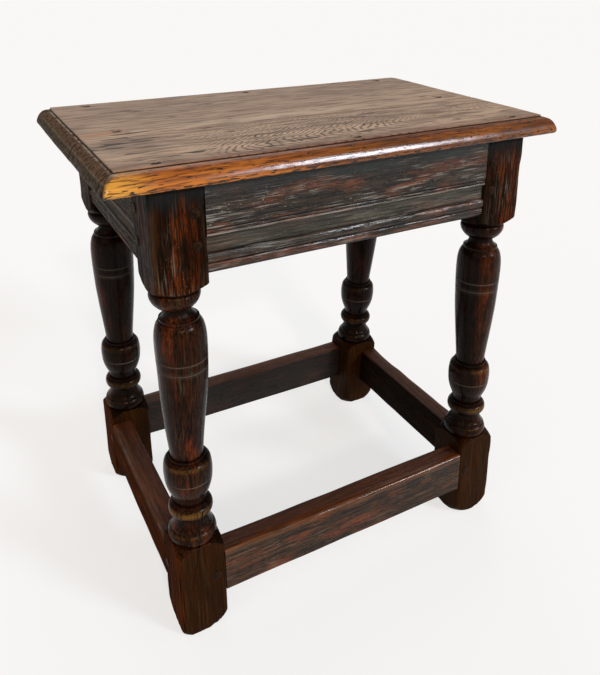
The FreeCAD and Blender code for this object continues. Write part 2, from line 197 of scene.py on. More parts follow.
def block_angles(per_face=30, per_arris=8):
    """Directions round a square block: evenly spaced along each face, and closer round each arris."""
    along = np.linspace(-1, 1, per_face + 1) * (leg_side / 2 - block_rounding)
    face = np.arctan2(along, leg_side / 2)
    arris = np.linspace(face[-1], math.pi / 2 + face[0], per_arris + 1)[1:-1]
    quarter = np.concatenate([face, arris])
    return np.concatenate([quarter + math.pi / 2 * turn for turn in range(4)])


def block_radius(angle, rounding):
    """Distance from the axis to a square with rounded arrises: its flat face, or the arris circle beyond."""
    folded = np.abs((angle + math.pi / 4) % (math.pi / 2) - math.pi / 4)
    flat = leg_side / 2 / np.cos(folded)
    centre = leg_side / 2 - rounding
    reach = centre * (np.cos(folded) + np.sin(folded))
    circle = reach + np.sqrt(np.maximum(reach ** 2 - 2 * centre ** 2 + rounding ** 2, 0))
    return np.where(np.tan(folded) * leg_side / 2 > centre, circle, flat)


def leaned(x, y, z):
    """Leans a front piece back about the line on the floor under the outer faces of the front legs."""
    inward = y - foot_face_y
    return np.stack([x, foot_face_y + inward * math.cos(rake) + z * math.sin(rake),
                     z * math.cos(rake) - inward * math.sin(rake)], axis=-1)


def above_average(values, grid, spread):
    """How far each value on a grid stands above the running average of those round it."""
    weights = np.exp(-((grid[:, None] - grid[None, :]) / spread) ** 2)
    return values - weights @ values / weights.sum(axis=1)


def outline_wear_and_shade(outline, spread=7 * mm, full=3 * mm, facing_down_shade=0.6, widest=22.5 * mm):
    """How proud each point of the turning stands, less a share for how far it faces down, which is painted
    shade: -1 hollow to 1 rubbed. Radii count up to the widest only, so that the blocks don't swamp it."""
    grid = np.arange(0, outline[-1, 1], 0.5 * mm)
    radius = np.minimum(np.interp(grid, outline[:, 1], outline[:, 0]), widest)
    proud = above_average(radius, grid, spread) / full
    proud = proud - facing_down_shade * np.clip(np.gradient(radius, grid), 0, 1)
    return np.clip(np.interp(outline[:, 1], grid, proud), -1, 1)


def make_leg(name, side_x, side_y, seed, off_centre, pointed):
    """A leg: at each height the ring is the smaller of the turned circle and the square block. The lathe's
    axis lies a little forward, so the outer arrises stay square further down. pointed is how far the foot's
    outer corner is left standing out, and off_centre how far a crooked vase strays from the leg's axis."""
    outline, lines = leg_outline()
    angle = block_angles()[None, :]
    turned, height = outline[:, :1] + 0 * angle, outline[:, 1:] + 0 * angle
    over_collar = eased(height, *outer_arris_heights)
    turned = turned + outer_arris_reach * over_collar * eased(-np.sin(angle), 0.2, 0.7)
    in_foot = np.clip(1 - height / foot_height, 0, 1)
    turned = turned + pointed * in_foot * eased(np.cos(angle + math.pi / 4), 0.5, 0.95)
    arris = np.round(angle / (math.pi / 2) - 0.5) + 0 * height
    rounding = block_rounding * (1.35 + 0.75 * waviness(height / (17 * mm), arris, seed))
    square = block_radius(angle, rounding)
    softness = 0.35 * mm
    radius = (turned + square - np.sqrt((turned - square) ** 2 + softness ** 2)) / 2
    squared = eased(turned - square, -0.2 * mm, 0.6 * mm)
    dent = 0.16 * mm * np.abs(waviness(height / (26 * mm), angle * 3, seed + 3))
    groove = 0.10 * mm * np.abs(waviness(height / (55 * mm), angle * 9, seed + 4))
    radius = radius - dent - groove * (0.5 + 2.2 * squared)
    x = radius * np.cos(angle) * side_x
    y = radius * np.sin(angle)
    drift = off_centre * eased(height, *crook_leaves) * (1 - eased(height, *crook_returns))
    axis_x = side_x * (leg_face_x - leg_side / 2) + drift
    points = leaned(x + axis_x, y + foot_face_y + leg_side / 2, height)
    points[..., 2] = np.clip(points[..., 2], 0, seat_underside)
    points[..., 1] *= -side_y
    corner = np.clip((square - leg_side / 2) / (corner_radius - leg_side / 2) * 1.6 - 0.6, -0.2, 1)
    # The worn mark holds the wear of the arrises and rubbed rings, and painted shade in the hollows and on
    # faces turned down.
    worn = corner * squared + outline_wear_and_shade(outline)[:, None] * (1 - squared)
    scribe = sum(np.exp(-((height - line) / (0.35 * mm)) ** 2) for line in lines)
    # Share of painted shade on the faces turned to the inside of the frame.
    shade_inside = eased(np.maximum(-np.cos(angle), np.sin(angle)), 0.1, 0.85) + 0 * height
    grain = np.stack([height + seed * 0.37, x + seed * 0.11, y + seed * 0.23], axis=-1)
    marks = {"worn": worn, "squared": squared, "scribed": scribe, "shade_inside": shade_inside}
    return ring_mesh(name, points, grain, marks)


def linear(hex_colour):
    """The linear red, green, blue and alpha of an sRGB colour written as #rrggbb."""
    srgb = np.array([int(hex_colour[i:i + 2], 16) for i in (1, 3, 5)]) / 255
    return (*np.where(srgb <= 0.04045, srgb / 12.92, ((srgb + 0.055) / 1.055) ** 2.4), 1.0)


def add(tree, kind, inputs=(), **settings):
    """Adds a shader node. settings are its properties; inputs are its sockets' values or what feeds them."""
    node = tree.nodes.new("ShaderNode" + kind)
    for name, value in settings.items():
        setattr(node, name, value)
    for place, value in dict(inputs).items():
        if isinstance(value, bpy.types.Node):
            value = next(socket for socket in value.outputs if socket.enabled)
        if isinstance(value, bpy.types.NodeSocket):
            tree.links.new(value, node.inputs[place])
        else:
            node.inputs[place].default_value = linear(value) if isinstance(value, str) else value
    return node


def drawn_out(tree, place, length, width, detail=2.0):
    """Noise stretched along the fibres: the place in the timber over a length along and a width across."""
    stretch = (1 / length, 1 / width, 1 / width)
    scaled = add(tree, "VectorMath", {0: place, 1: stretch}, operation="MULTIPLY")
    return add(tree, "TexNoise", {"Vector": scaled, "Scale": 1.0, "Detail": detail})


def new_material(name):
    """A material made of nodes, and the tree that holds them."""
    material = bpy.data.materials.new(name)
    material.use_nodes = True
    return material, material.node_tree


def old_surface(tree, tones, fibre, groove, red_share, dust_share, gold_and_highlight_share):
    """The layers that dark old oak shows, from the timber outwards. Returns its colour, height, roughness and
    tone. The tone follows the fibres from deep to brown, with red where the stain has thinned; grooves along
    the grain and open pores are dark, wax and dust lie pale in it, hollows are darkened by grime and painted
    shade, and rubbed places are golden, partly as a painted highlight. Fibres, grooves and pores are drawn
    coarser than real ones, so that a render shows them."""
    deep, brown, red, gap, dust, grime, gold_and_highlight = tones
    grain = add(tree, "Attribute", attribute_name="grain").outputs["Vector"]
    worn = add(tree, "Attribute", attribute_name="worn").outputs["Fac"]
    fibres = drawn_out(tree, grain, 42 * mm, fibre, detail=3.0)
    tone = add(tree, "MapRange", {0: fibres, 1: 0.36, 2: 0.62})
    broad = drawn_out(tree, grain, 110 * mm, 18 * mm, detail=2.0)
    shade = add(tree, "MapRange", {0: broad, 1: 0.36, 2: 0.60, 3: 0.45, 4: 1.0})
    tone = add(tree, "Math", {0: tone, 1: shade}, operation="MULTIPLY")
    colour = add(tree, "Mix", {0: tone, 6: deep, 7: brown}, data_type="RGBA")
    patches = drawn_out(tree, grain, 55 * mm, 16 * mm, detail=4.0)
    thinned = add(tree, "MapRange", {0: patches, 1: 0.64 - 0.3 * red_share, 2: 0.76 - 0.3 * red_share})
    between = add(tree, "MapRange", {0: fibres, 1: 0.34, 2: 0.54, 3: 0.2})
    reddened = add(tree, "Math", {0: thinned, 1: between}, operation="MULTIPLY")

    bands = drawn_out(tree, grain, 120 * mm, 5 * mm, detail=2.0)
    line = add(tree, "Math", {0: bands, 1: 0.5, 2: groove}, operation="COMPARE")
    pores = drawn_out(tree, grain, 7 * mm, 0.9 * mm, detail=0.0)
    open_pore = add(tree, "MapRange", {0: pores, 1: 0.60, 2: 0.66})
    dark = add(tree, "Math", {0: open_pore, 1: line}, operation="MAXIMUM")
    dark_share = add(tree, "Math", {0: dark, 1: 0.75}, operation="MULTIPLY")

    streaks = drawn_out(tree, grain, 22 * mm, 1.1 * mm, detail=1.0)
    streaked = add(tree, "MapRange", {0: streaks, 1: 0.57, 2: 0.66})
    specks = drawn_out(tree, grain, 2.2 * mm, 1.2 * mm, detail=0.0)
    speckled = add(tree, "MapRange", {0: specks, 1: 0.74, 2: 0.80})
    pale = add(tree, "Math", {0: streaked, 1: speckled}, operation="MAXIMUM")
    places = drawn_out(tree, grain, 40 * mm, 14 * mm, detail=2.0)
    dust_and_sheen = add(tree, "MapRange", {0: places, 1: 0.40, 2: 0.62, 4: dust_share})
    dusted = add(tree, "Math", {0: pale, 1: dust_and_sheen}, operation="MULTIPLY")
    # Hollows and faces turned down take the grime colour: grime and painted shade.
    hollow = add(tree, "MapRange", {0: worn, 1: -0.2, 2: -0.85, 4: 0.9})
    # Proud places take the gold colour: wear and a painted highlight.
    proud = add(tree, "MapRange", {0: worn, 1: 0.3, 2: 0.95, 4: gold_and_highlight_share})
    rubbed = add(tree, "Math", {0: proud, 1: between}, operation="MULTIPLY")

    # Faces turned to the inside of the frame are painted nearly black: painted shade, where little light
    # reaches them.
    shade_inside = add(tree, "Attribute", attribute_name="shade_inside").outputs["Fac"]
    painted_inner_shade = add(tree, "Math", {0: shade_inside, 1: 0.8}, operation="MULTIPLY")
    layers = ((reddened, red), (dark_share, gap), (dusted, dust), (hollow, grime), (rubbed, gold_and_highlight),
              (painted_inner_shade, "#060200"))
    for share, tint in layers:
        colour = add(tree, "Mix", {0: share, 6: colour, 7: tint}, data_type="RGBA")

    height = add(tree, "Math", {0: dark, 1: -0.45, 2: fibres}, operation="MULTIPLY_ADD")
    height = add(tree, "Math", {0: streaks, 1: 0.6, 2: height}, operation="MULTIPLY_ADD")
    roughness = 0.17
    for share, extra in ((dusted, 0.35), (hollow, 0.25), (dark, 0.15)):
        roughness = add(tree, "Math", {0: share, 1: extra, 2: roughness}, operation="MULTIPLY_ADD")
    return colour, height, roughness, tone


def paint_seat_shadow(tree, colour, depth, shadow_tint, share):
    """Paints the seat's shadow, a blue grey dark, on what the seat overhangs, thinning to nothing at a ragged
    depth.
    """
    grain = add(tree, "Attribute", attribute_name="grain").outputs["Vector"]
    place = add(tree, "TexCoord").outputs["Object"]
    height = add(tree, "SeparateXYZ", {0: place}).outputs["Z"]
    ragged = drawn_out(tree, grain, 30 * mm, 9 * mm, detail=3.0)
    lifted = add(tree, "Math", {0: ragged, 1: depth * 1.6, 2: height}, operation="MULTIPLY_ADD")
    low = seat_underside - depth * 0.4
    zone = add(tree, "MapRange", {0: lifted, 1: low, 2: low + depth * 0.8, 4: share})
    return add(tree, "Mix", {0: zone, 6: colour, 7: shadow_tint}, data_type="RGBA")


def paint_warm_light(tree, colour, roughness, tone):
    """Paints warm light from the left, a streaked orange brown, on the outer faces of the left end near the
    floor, and makes them rougher. Returns the colour and the roughness."""
    axes = add(tree, "SeparateXYZ", {0: add(tree, "TexCoord").outputs["Object"]})
    outer = add(tree, "MapRange", {0: axes.outputs["X"], 1: 2 * mm - leg_face_x, 2: 1 * mm - leg_face_x})
    low = add(tree, "MapRange", {0: axes.outputs["Z"], 1: 150 * mm, 2: 110 * mm, 4: 0.75})
    warm_lit = add(tree, "Math", {0: outer, 1: low}, operation="MULTIPLY")
    warm_lit_orange = add(tree, "Mix", {0: tone, 6: "#1e0900", 7: "#5e2a04"}, data_type="RGBA")
    dried = add(tree, "Math", {0: warm_lit, 1: 0.5, 2: roughness}, operation="MULTIPLY_ADD")
    return add(tree, "Mix", {0: warm_lit, 6: colour, 7: warm_lit_orange}, data_type="RGBA"), dried


def split_leg(tree, colour):
    """One drying split in the front left leg, a line up its front from the lower block to the ring."""
    split_foot_x, split_slope, split_width, split_top = -193.6 * mm, 0.2, 0.7 * mm, 147 * mm
    place = add(tree, "TexCoord").outputs["Object"]
    axes = add(tree, "SeparateXYZ", {0: place})
    x, y, z = axes.outputs["X"], axes.outputs["Y"], axes.outputs["Z"]
    wander = add(tree, "TexNoise", {"Vector": place, "Scale": 1 / (16 * mm), "Detail": 2.0})
    along = add(tree, "Math", {0: z, 1: -split_slope, 2: x}, operation="MULTIPLY_ADD")
    along = add(tree, "Math", {0: wander, 1: 5 * mm, 2: along}, operation="MULTIPLY_ADD")
    width = add(tree, "MapRange", {0: z, 1: 30 * mm, 2: 130 * mm, 4: split_width})
    off_line = add(tree, "Math", {0: along, 1: -split_foot_x}, operation="ADD")
    off_line = add(tree, "Math", {0: off_line}, operation="ABSOLUTE")
    split = add(tree, "Math", {0: off_line, 1: width}, operation="LESS_THAN")
    in_front = add(tree, "Math", {0: y, 1: foot_face_y + leg_side / 2}, operation="LESS_THAN")
    below_ring = add(tree, "Math", {0: z, 1: split_top}, operation="LESS_THAN")
    split = add(tree, "Math", {0: split, 1: in_front}, operation="MULTIPLY")
    split = add(tree, "Math", {0: split, 1: below_ring}, operation="MULTIPLY")
    return add(tree, "Mix", {0: split, 6: colour, 7: "#060403"}, data_type="RGBA"), split


def finish(tree, colour, relief, roughness, specular):
    """Feeds the shader of aged oak. Old wax reflects less than new varnish, hence the low specular level."""
    bump = add(tree, "Bump", {"Height": relief, "Distance": 1.0, "Strength": 1.0})
    shader = tree.nodes["Principled BSDF"]
    shader.inputs["IOR"].default_value = 1.45
    shader.inputs["Specular IOR Level"].default_value = specular
    tree.links.new(colour.outputs[2], shader.inputs["Base Color"])
    tree.links.new(roughness.outputs[0], shader.inputs["Roughness"])
    tree.links.new(bump.outputs[0], shader.inputs["Normal"])


def turned_oak(name, specular, dullness):
    """Oak turned on the lathe, stained nearly black brown and waxed for centuries: glossy on the turning,
    rougher, redder and open-grained on the squared blocks, which only the plane has touched."""
    material, tree = new_material(name)
    # The last of each set of tones is the gold of rubbed places, partly a painted highlight.
    turned_tones = ("#0c0300", "#371804", "#562408", "#050200", "#6a5a45", "#050200", "#a87a38")
    block_tones = ("#120600", "#301505", "#522308", "#0a0906", "#5d574b", "#080300", "#57402c")
    turned = old_surface(tree, turned_tones, 1.8 * mm, 0.010, 0.3, 0.2, 0.75)
    block = old_surface(tree, block_tones, 1.5 * mm, 0.05, 0.6, 0.7, 0.4)
    squared = add(tree, "Attribute", attribute_name="squared").outputs["Fac"]
    scribe = add(tree, "Attribute", attribute_name="scribed").outputs["Fac"]
    place = add(tree, "TexCoord").outputs["Object"]
    height = add(tree, "SeparateXYZ", {0: place}).outputs["Z"]

    # The lower blocks, handled less roughly than the upper ones, are smoother and a duller brown.
    trodden = add(tree, "MapRange", {0: height, 1: 150 * mm, 2: 120 * mm, 4: 0.88})
    dull = add(tree, "Mix", {0: block[3], 6: "#1e0e02", 7: "#341c07"}, data_type="RGBA")
    block_colour = add(tree, "Mix", {0: trodden, 6: block[0], 7: dull}, data_type="RGBA")
    colour = add(tree, "Mix", {0: squared, 6: turned[0], 7: block_colour}, data_type="RGBA")
    scribe_share = add(tree, "Math", {0: scribe, 1: 0.35}, operation="MULTIPLY")
    colour = add(tree, "Mix", {0: scribe_share, 6: colour, 7: "#8a8074"}, data_type="RGBA")
    # Painted shadow of the seat on the top of each leg.
    colour = paint_seat_shadow(tree, colour, 20 * mm, "#181b1c", 0.88)
    roughness = add(tree, "Mix", {0: squared, 2: turned[2], 3: block[2]})
    roughness = add(tree, "Math", {0: squared, 1: 0.14, 2: roughness}, operation="MULTIPLY_ADD")
    # Painted warm light on the left end near the floor.
    colour, roughness = paint_warm_light(tree, colour, roughness, block[3])
    colour, split = split_leg(tree, colour)

    depth = add(tree, "MapRange", {0: squared, 3: 0.12 * mm, 4: 0.8 * mm})
    depth = add(tree, "Math", {0: trodden, 1: -0.5 * mm, 2: depth}, operation="MULTIPLY_ADD")
    depth = add(tree, "Math", {0: depth, 1: 0.10 * mm}, operation="MAXIMUM")
    relief = add(tree, "Mix", {0: squared, 2: turned[1], 3: block[1]})
    relief = add(tree, "Math", {0: relief, 1: depth}, operation="MULTIPLY")
    relief = add(tree, "Math", {0: split, 1: -1 * mm, 2: relief}, operation="MULTIPLY_ADD")
    rougher = add(tree, "Math", {0: roughness, 1: dullness}, operation="ADD")
    finish(tree, colour, relief, rougher, specular)
    return material


def finish_frame_piece(piece, waxed, dried, is_leg=False):
    """Gives a piece its waxed finish, and the dried one to what has lost its gloss: the squared blocks of a
    leg, or the faces of a rail that look to the left, where light falls on them."""
    piece.data.materials.append(waxed)
    piece.data.materials.append(dried)
    faces = piece.data.polygons
    normals, centres = np.empty(len(faces) * 3), np.empty(len(faces) * 3)
    faces.foreach_get("normal", normals)
    faces.foreach_get("center", centres)
    to_left = normals.reshape(-1, 3)[:, 0] < -0.85
    z = centres.reshape(-1, 3)[:, 2]
    on_block = (z < lower_block_top - 1 * mm) | (z > upper_block_foot + 2 * mm)
    faces.foreach_set("material_index", (on_block if is_leg else to_left).astype(np.int32))


leg_finish = turned_oak("oak, turned and waxed", 0.08, 0.0)
block_finish = turned_oak("oak, squared and dried", 0.03, 0.15)
leg_places = (("front_left", -1, -1, 2.4 * mm, 5 * mm), ("front_right", 1, -1, 0, 0),
              ("back_left", -1, 1, 0, 0), ("back_right", 1, 1, 0, 0))
for seed, (name, side_x, side_y, off_centre, pointed) in enumerate(leg_places, start=1):
    leg = make_leg("turned_leg_" + name, side_x, side_y, seed, off_centre, pointed)
    finish_frame_piece(leg, leg_finish, block_finish, is_leg=True)
    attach(leg, "root")
    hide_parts("leg_" + name)


# Aprons
# The upper rails, 79 mm deep, tenoned between the blocks. A foot, a bead, a sunk channel and two reeds
# are run along the lower part of each with a scratch stock; the upper part is left plain.

rail_thickness = 24 * mm
apron_foot_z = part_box("apron_right")[0].z
shoulder_x = leg_face_x - leg_side


def moulding_section():
    """Setback from the outer face and height of an apron's section, closed round its back."""
    def hump(low, high, start, middle, end, fullness=0.7, steps=9):
        return bowed((start * mm, low * mm), (end * mm, high * mm), middle * mm, fullness, steps)
    foot = hump(0, 8, 3.6, 1.5, 1.9)
    bead = hump(8.8, 18.2, 2.8, 0.5, 3.4, 0.6, 13)
    channel = np.array([(3.4, 18.2), (3.5, 20.5), (3.5, 24), (3.5, 28), (3.4, 31), (3.4, 32.8)]) * mm
    reeds = [hump(32.8 + 2.9 * i, 35.7 + 2.9 * i, 1.3, 0.35, 1.3, 0.6, 7) for i in range(2)]
    plain_z = np.concatenate([[39.2, 40.2], np.linspace(43, 79, 14)])
    plain = np.stack([np.where(plain_z < 39.5, 0.5, 0.0), plain_z], axis=1) * mm
    back = np.array([(24, 79), (24, 60), (24, 40), (24, 20), (24, 1.5), (22.5, 0), (14, 0), (6, 0)]) * mm
    return np.vstack([foot, bead, channel, reeds[0], reeds[1], plain, back])


def rail_stations(length):
    """Shares along a rail, about 2.5 mm apart."""
    return np.linspace(0, 1, int(length / (2.5 * mm)) + 2)


def rail_relief(along, up, seed):
    """How far age has sunk a rail's face: broad hollows and fine raised grain, always inwards."""
    broad = 0.21 * mm * (1 + waviness(along / (60 * mm), up / (14 * mm), seed))
    fine = 0.16 * mm * (1 + waviness(along / (30 * mm), up / (2.6 * mm), seed + 1))
    return broad + fine


def section_wear_and_shade(section, spread=2.5 * mm, full=0.8 * mm, facing_down_shade=0.8):
    """How exposed each point of a section's outer side is: its setback against the average of its neighbours,
    on an even grid of heights, less a share for how far it faces down, which is painted shade."""
    outer = section[:, 0] < rail_thickness / 4
    order = np.argsort(section[outer, 1], kind="stable")
    grid = np.arange(0, section[:, 1].max(), 0.25 * mm)
    setback = np.interp(grid, section[outer, 1][order], section[outer, 0][order])
    proud = above_average(-setback, grid, spread) / full
    proud = proud - facing_down_shade * np.clip(-np.gradient(setback, grid), 0, 1)
    return np.clip(np.interp(section[:, 1], grid, proud), -1, 1) * outer


def end_shoulder(z):
    """Half the clear length between the front and the back leg at a height, since the legs lean."""
    return -foot_face_y - leg_side / math.cos(rake) - z * math.tan(rake)


def make_apron(name, axis, side, seed):
    """The apron's section carried from shoulder to shoulder; the end aprons' shoulders lean with the legs."""
    section = moulding_section()
    stations = rail_stations(2 * shoulder_x if axis == "x" else 170 * mm)
    share, setback = np.meshgrid(stations, section[:, 0], indexing="ij")
    height = section[None, :, 1] + 0 * share
    z = apron_foot_z + height
    along = (2 * share - 1) * (shoulder_x if axis == "x" else end_shoulder(z))
    sunk = setback + np.where(setback < rail_thickness / 2, rail_relief(along, height, seed), 0)
    if axis == "x":
        at_top = height > section[:, 1].max() - 0.1 * mm
        points = leaned(along, foot_face_y + sunk, np.where(at_top, z + 3 * mm, z / math.cos(rake)))
        points[..., 2] = np.minimum(points[..., 2], seat_underside)
        points[..., 1] *= -side
    else:
        points = np.stack([side * (leg_face_x - sunk), along, z], axis=-1)
    grain = np.stack([along + seed * 0.31, sunk + seed * 0.17, height + seed * 0.13], axis=-1)
    channel = eased(height, 18.0 * mm, 19.5 * mm) * (1 - eased(height, 31.5 * mm, 33 * mm))
    # Share of painted shade on the apron's inner side.
    shade_inside = eased(setback, 8 * mm, 14 * mm)
    # The worn mark gives painted shade to the quirks and to faces turned down, and wear and a painted
    # highlight to the ridges.
    return ring_mesh(name, points, grain, {"worn": section_wear_and_shade(section) + 0 * share, "channel": channel,
                                           "shade_inside": shade_inside}, fold_angle=32)


def moulded_oak(name, specular, dullness):
    """Oak planed and scraped to its mouldings, never stripped: the wax has gone dull and grey in the grain,
    worn through in red brown patches, and stays dark where the seat shades it."""
    material, tree = new_material(name)
    # The last tone, pale grey, lies on the proud ridges of the mouldings: wear and a painted highlight.
    tones = ("#100c09", "#42362b", "#5c3420", "#080604", "#8c8a84", "#060403", "#9a958c")
    colour, height, roughness, tone = old_surface(tree, tones, 1.8 * mm, 0.014, 0.5, 0.6, 0.6)
    channel = add(tree, "Attribute", attribute_name="channel").outputs["Fac"]
    greyed_and_sheen = add(tree, "Math", {0: channel, 1: 0.65}, operation="MULTIPLY")
    grey = add(tree, "Mix", {0: tone, 6: "#24231d", 7: "#4d4b43"}, data_type="RGBA")
    colour = add(tree, "Mix", {0: greyed_and_sheen, 6: colour, 7: grey}, data_type="RGBA")
    # Painted shadow of the seat on the top of each apron.
    colour = paint_seat_shadow(tree, colour, 17 * mm, "#1f2424", 0.92)
    relief = add(tree, "Math", {0: height, 1: 0.4 * mm}, operation="MULTIPLY")
    rougher = add(tree, "Math", {0: roughness, 1: dullness}, operation="ADD")
    finish(tree, colour, relief, rougher, specular)
    return material


apron_finish = moulded_oak("oak, moulded and smoked", 0.32, 0.04)
dry_apron_finish = moulded_oak("oak, moulded and dried", 0.03, 0.35)
rail_places = (("front", "x", -1), ("back", "x", 1), ("left", "y", -1), ("right", "y", 1))
for seed, (name, axis, side) in enumerate(rail_places, start=11):
    apron = make_apron("moulded_apron_" + name, axis, side, seed)
    finish_frame_piece(apron, apron_finish, dry_apron_finish)
    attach(apron, "root")
    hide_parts("apron_" + name)


# Stretchers
# The low rails, 49 mm deep, on which feet have rested: their upper outer arrises are worn round.

stretcher_foot_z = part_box("stretcher_right")[0].z
stretcher_depth = 49 * mm


def worn_section(roundings, per_corner=8):
    """A rectangle with its own rounding at each corner: quarter circles joined by straight faces."""
    corners = ((0, 0), (0, 1), (1, 1), (1, 0))
    turns = (math.pi * 1.5, math.pi, math.pi / 2, 0)
    setback, height = [], []
    for (back, top), turn, rounding in zip(corners, turns, roundings):
        rounding = rounding[:, None]
        sweep = turn - np.linspace(0, math.pi / 2, per_corner)
        setback.append((rail_thickness - rounding if back else rounding) + rounding * np.cos(sweep))
        height.append((stretcher_depth - rounding if top else rounding) + rounding * np.sin(sweep))
        if (back, top) == (0, 0):
            faces = np.linspace(0.12, 0.88, 12)
            setback.append(0 * faces + 0 * rounding)
            height.append(faces * stretcher_depth + 0 * rounding)
        if (back, top) == (0, 1):
            faces = np.linspace(0.40, 0.85, 5)
            setback.append(faces * rail_thickness + 0 * rounding)
            height.append(stretcher_depth + 0 * faces + 0 * rounding)
    return np.concatenate(setback, axis=1), np.concatenate(height, axis=1)


def make_stretcher(name, axis, side, seed, tread):
    """A rectangle carried from shoulder to shoulder, its arrises and top worn more towards the middle."""
    stations = rail_stations(2 * shoulder_x if axis == "x" else 200 * mm)
    hump = np.clip(1 - (2 * stations - 1) ** 4, 0, 1)
    uneven = 1 + 0.35 * waviness(stations * 9, 0 * stations, seed)
    arris = 1.6 * mm * uneven
    outer_top = (3.2 * mm + tread * 3 * mm * hump) * uneven
    setback, height = worn_section((arris, outer_top, arris * 1.4, arris))
    share = stations[:, None] + 0 * setback
    z = stretcher_foot_z + height
    trodden = tread * 1.8 * mm * hump[:, None] * np.clip(height / stretcher_depth * 3 - 2, 0, 1)
    trodden = trodden * (1.3 - setback / rail_thickness)
    along = (2 * share - 1) * (shoulder_x if axis == "x" else end_shoulder(z))
    sunk = setback + rail_relief(along, height, seed) * np.clip(1 - setback / (8 * mm), 0, 1)
    z = z - trodden
    if axis == "x":
        points = leaned(along, foot_face_y + sunk, z)
        points[..., 1] *= -side
    else:
        points = np.stack([side * (leg_face_x - sunk), along, z], axis=-1)
    grain = np.stack([along + seed * 0.31, sunk + seed * 0.17, height + seed * 0.13], axis=-1)
    corner = np.minimum(stretcher_depth - height, 40 * mm) + np.minimum(setback, 40 * mm)
    worn = np.clip(1.1 - corner / (9 * mm), -0.1, 1)
    top = eased(height, stretcher_depth - 1.5 * mm, stretcher_depth - 0.2 * mm) * (setback > 2 * mm)
    # Share of painted shade on the stretcher's inner side.
    shade_inside = eased(setback, 18 * mm, 23 * mm)
    return ring_mesh(name, points, grain, {"worn": worn, "top": top, "shade_inside": shade_inside})


def trodden_oak(name, specular, dullness):
    """Oak planed square and polished by shoes and cloths: dark, streaked along the grain, redder on its top
    and bright on its arris."""
    material, tree = new_material(name)
    tones = ("#120701", "#46290f", "#5c2b10", "#080300", "#7d6f5c", "#080401", "#7a4c2a")
    colour, height, roughness, tone = old_surface(tree, tones, 1.8 * mm, 0.010, 0.4, 0.35, 0.6)
    top = add(tree, "Attribute", attribute_name="top").outputs["Fac"]
    reddened = add(tree, "Math", {0: top, 1: 0.7}, operation="MULTIPLY")
    red = add(tree, "Mix", {0: tone, 6: "#361604", 7: "#562a12"}, data_type="RGBA")
    colour = add(tree, "Mix", {0: reddened, 6: colour, 7: red}, data_type="RGBA")
    # Painted warm light on the left end near the floor.
    colour, roughness = paint_warm_light(tree, colour, roughness, tone)
    worn = add(tree, "Attribute", attribute_name="worn").outputs["Fac"]
    depth = add(tree, "MapRange", {0: worn, 1: 0.1, 2: 0.5, 3: 0.4 * mm, 4: 0.03 * mm})
    relief = add(tree, "Math", {0: height, 1: depth}, operation="MULTIPLY")
    dulled = add(tree, "MapRange", {0: worn, 1: 0.1, 2: 0.5, 3: dullness, 4: 0.0})
    rougher = add(tree, "Math", {0: roughness, 1: dulled}, operation="ADD")
    finish(tree, colour, relief, rougher, specular)
    return material


stretcher_finish = trodden_oak("oak, planed and trodden", 0.30, 0.34)
dry_stretcher_finish = trodden_oak("oak, planed and dried", 0.03, 0.45)
treads = (0.5, 0.4, 1.0, 0.6)
for seed, ((name, axis, side), tread) in enumerate(zip(rail_places, treads), start=21):
    stretcher = make_stretcher("worn_stretcher_" + name, axis, side, seed, tread)
    finish_frame_piece(stretcher, stretcher_finish, dry_stretcher_finish)
    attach(stretcher, "root")
    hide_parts("stretcher_" + name)


# Pegs
# Riven oak pins, eight-sided and tapered, driven through the tenons and rubbed down until their heads
# stand less than a millimetre proud. The heads show end grain, and grime lies round them.

peg_radius = 5 * mm
peg_tip_radius = 4.3 * mm
peg_length = 30 * mm
peg_crown = 0.7 * mm
peg_from_shoulder = 9 * mm
apron_peg_heights = (409.5 * mm, 437.9 * mm)
stretcher_peg_heights = (63.5 * mm,)


def riven(length, radius, tip_radius, crown, seed):
    """A peg on its own axis: how far out each ring lies, and its two offsets across. The radius tapers to the
    tip and turns over into the crown, and eight split sides swell and shrink it a little round the head."""
    turn = np.linspace(0, 2 * math.pi, 33)[None, :-1]
    out = np.array([-length, -length / 2, -1 * mm, 0.1 * mm, crown * 0.6, crown * 0.9, crown])[:, None]
    shares = np.array([0, 0.5, 0.97, 1.0, 0.93, 0.7, 0.3])[:, None]
    width = np.where(out < 0, tip_radius + (radius - tip_radius) * shares, radius * shares)
    split = 1 - 0.05 * np.abs(np.sin(turn * 4 + seed)) - 0.05 * np.abs(waviness(turn * 1.3, 0 * turn, seed))
    return out + 0 * turn, width * split * np.cos(turn), width * split * np.sin(turn)


def make_rail_pegs(name, axis, side, heights, seed):
    """The pegs of one rail, through the leg at each of its ends, leaning with the legs."""
    shells, grains, grimed = [], [], []
    for end in (-1, 1):
        for number, height in enumerate(heights):
            out, across, along = riven(peg_length, peg_radius, peg_tip_radius, peg_crown, seed + number + end)
            if axis == "x":
                x = end * (shoulder_x + peg_from_shoulder) + across
                points = leaned(x, foot_face_y - out, height + along) * (1, -side, 1)
            else:
                y = foot_face_y + leg_side - peg_from_shoulder + across
                points = leaned(side * (leg_face_x + out), y, height + along) * (1, -end, 1)
            shells.append(points)
            grains.append(np.stack([out, across, along], axis=-1) + seed * 0.1 + number * 0.03)
            grimed.append(np.where(np.hypot(across, along) > peg_radius * 0.8, -1.0, 0.0))
    return ring_mesh(name, np.array(shells), np.array(grains), {"worn": np.array(grimed)})


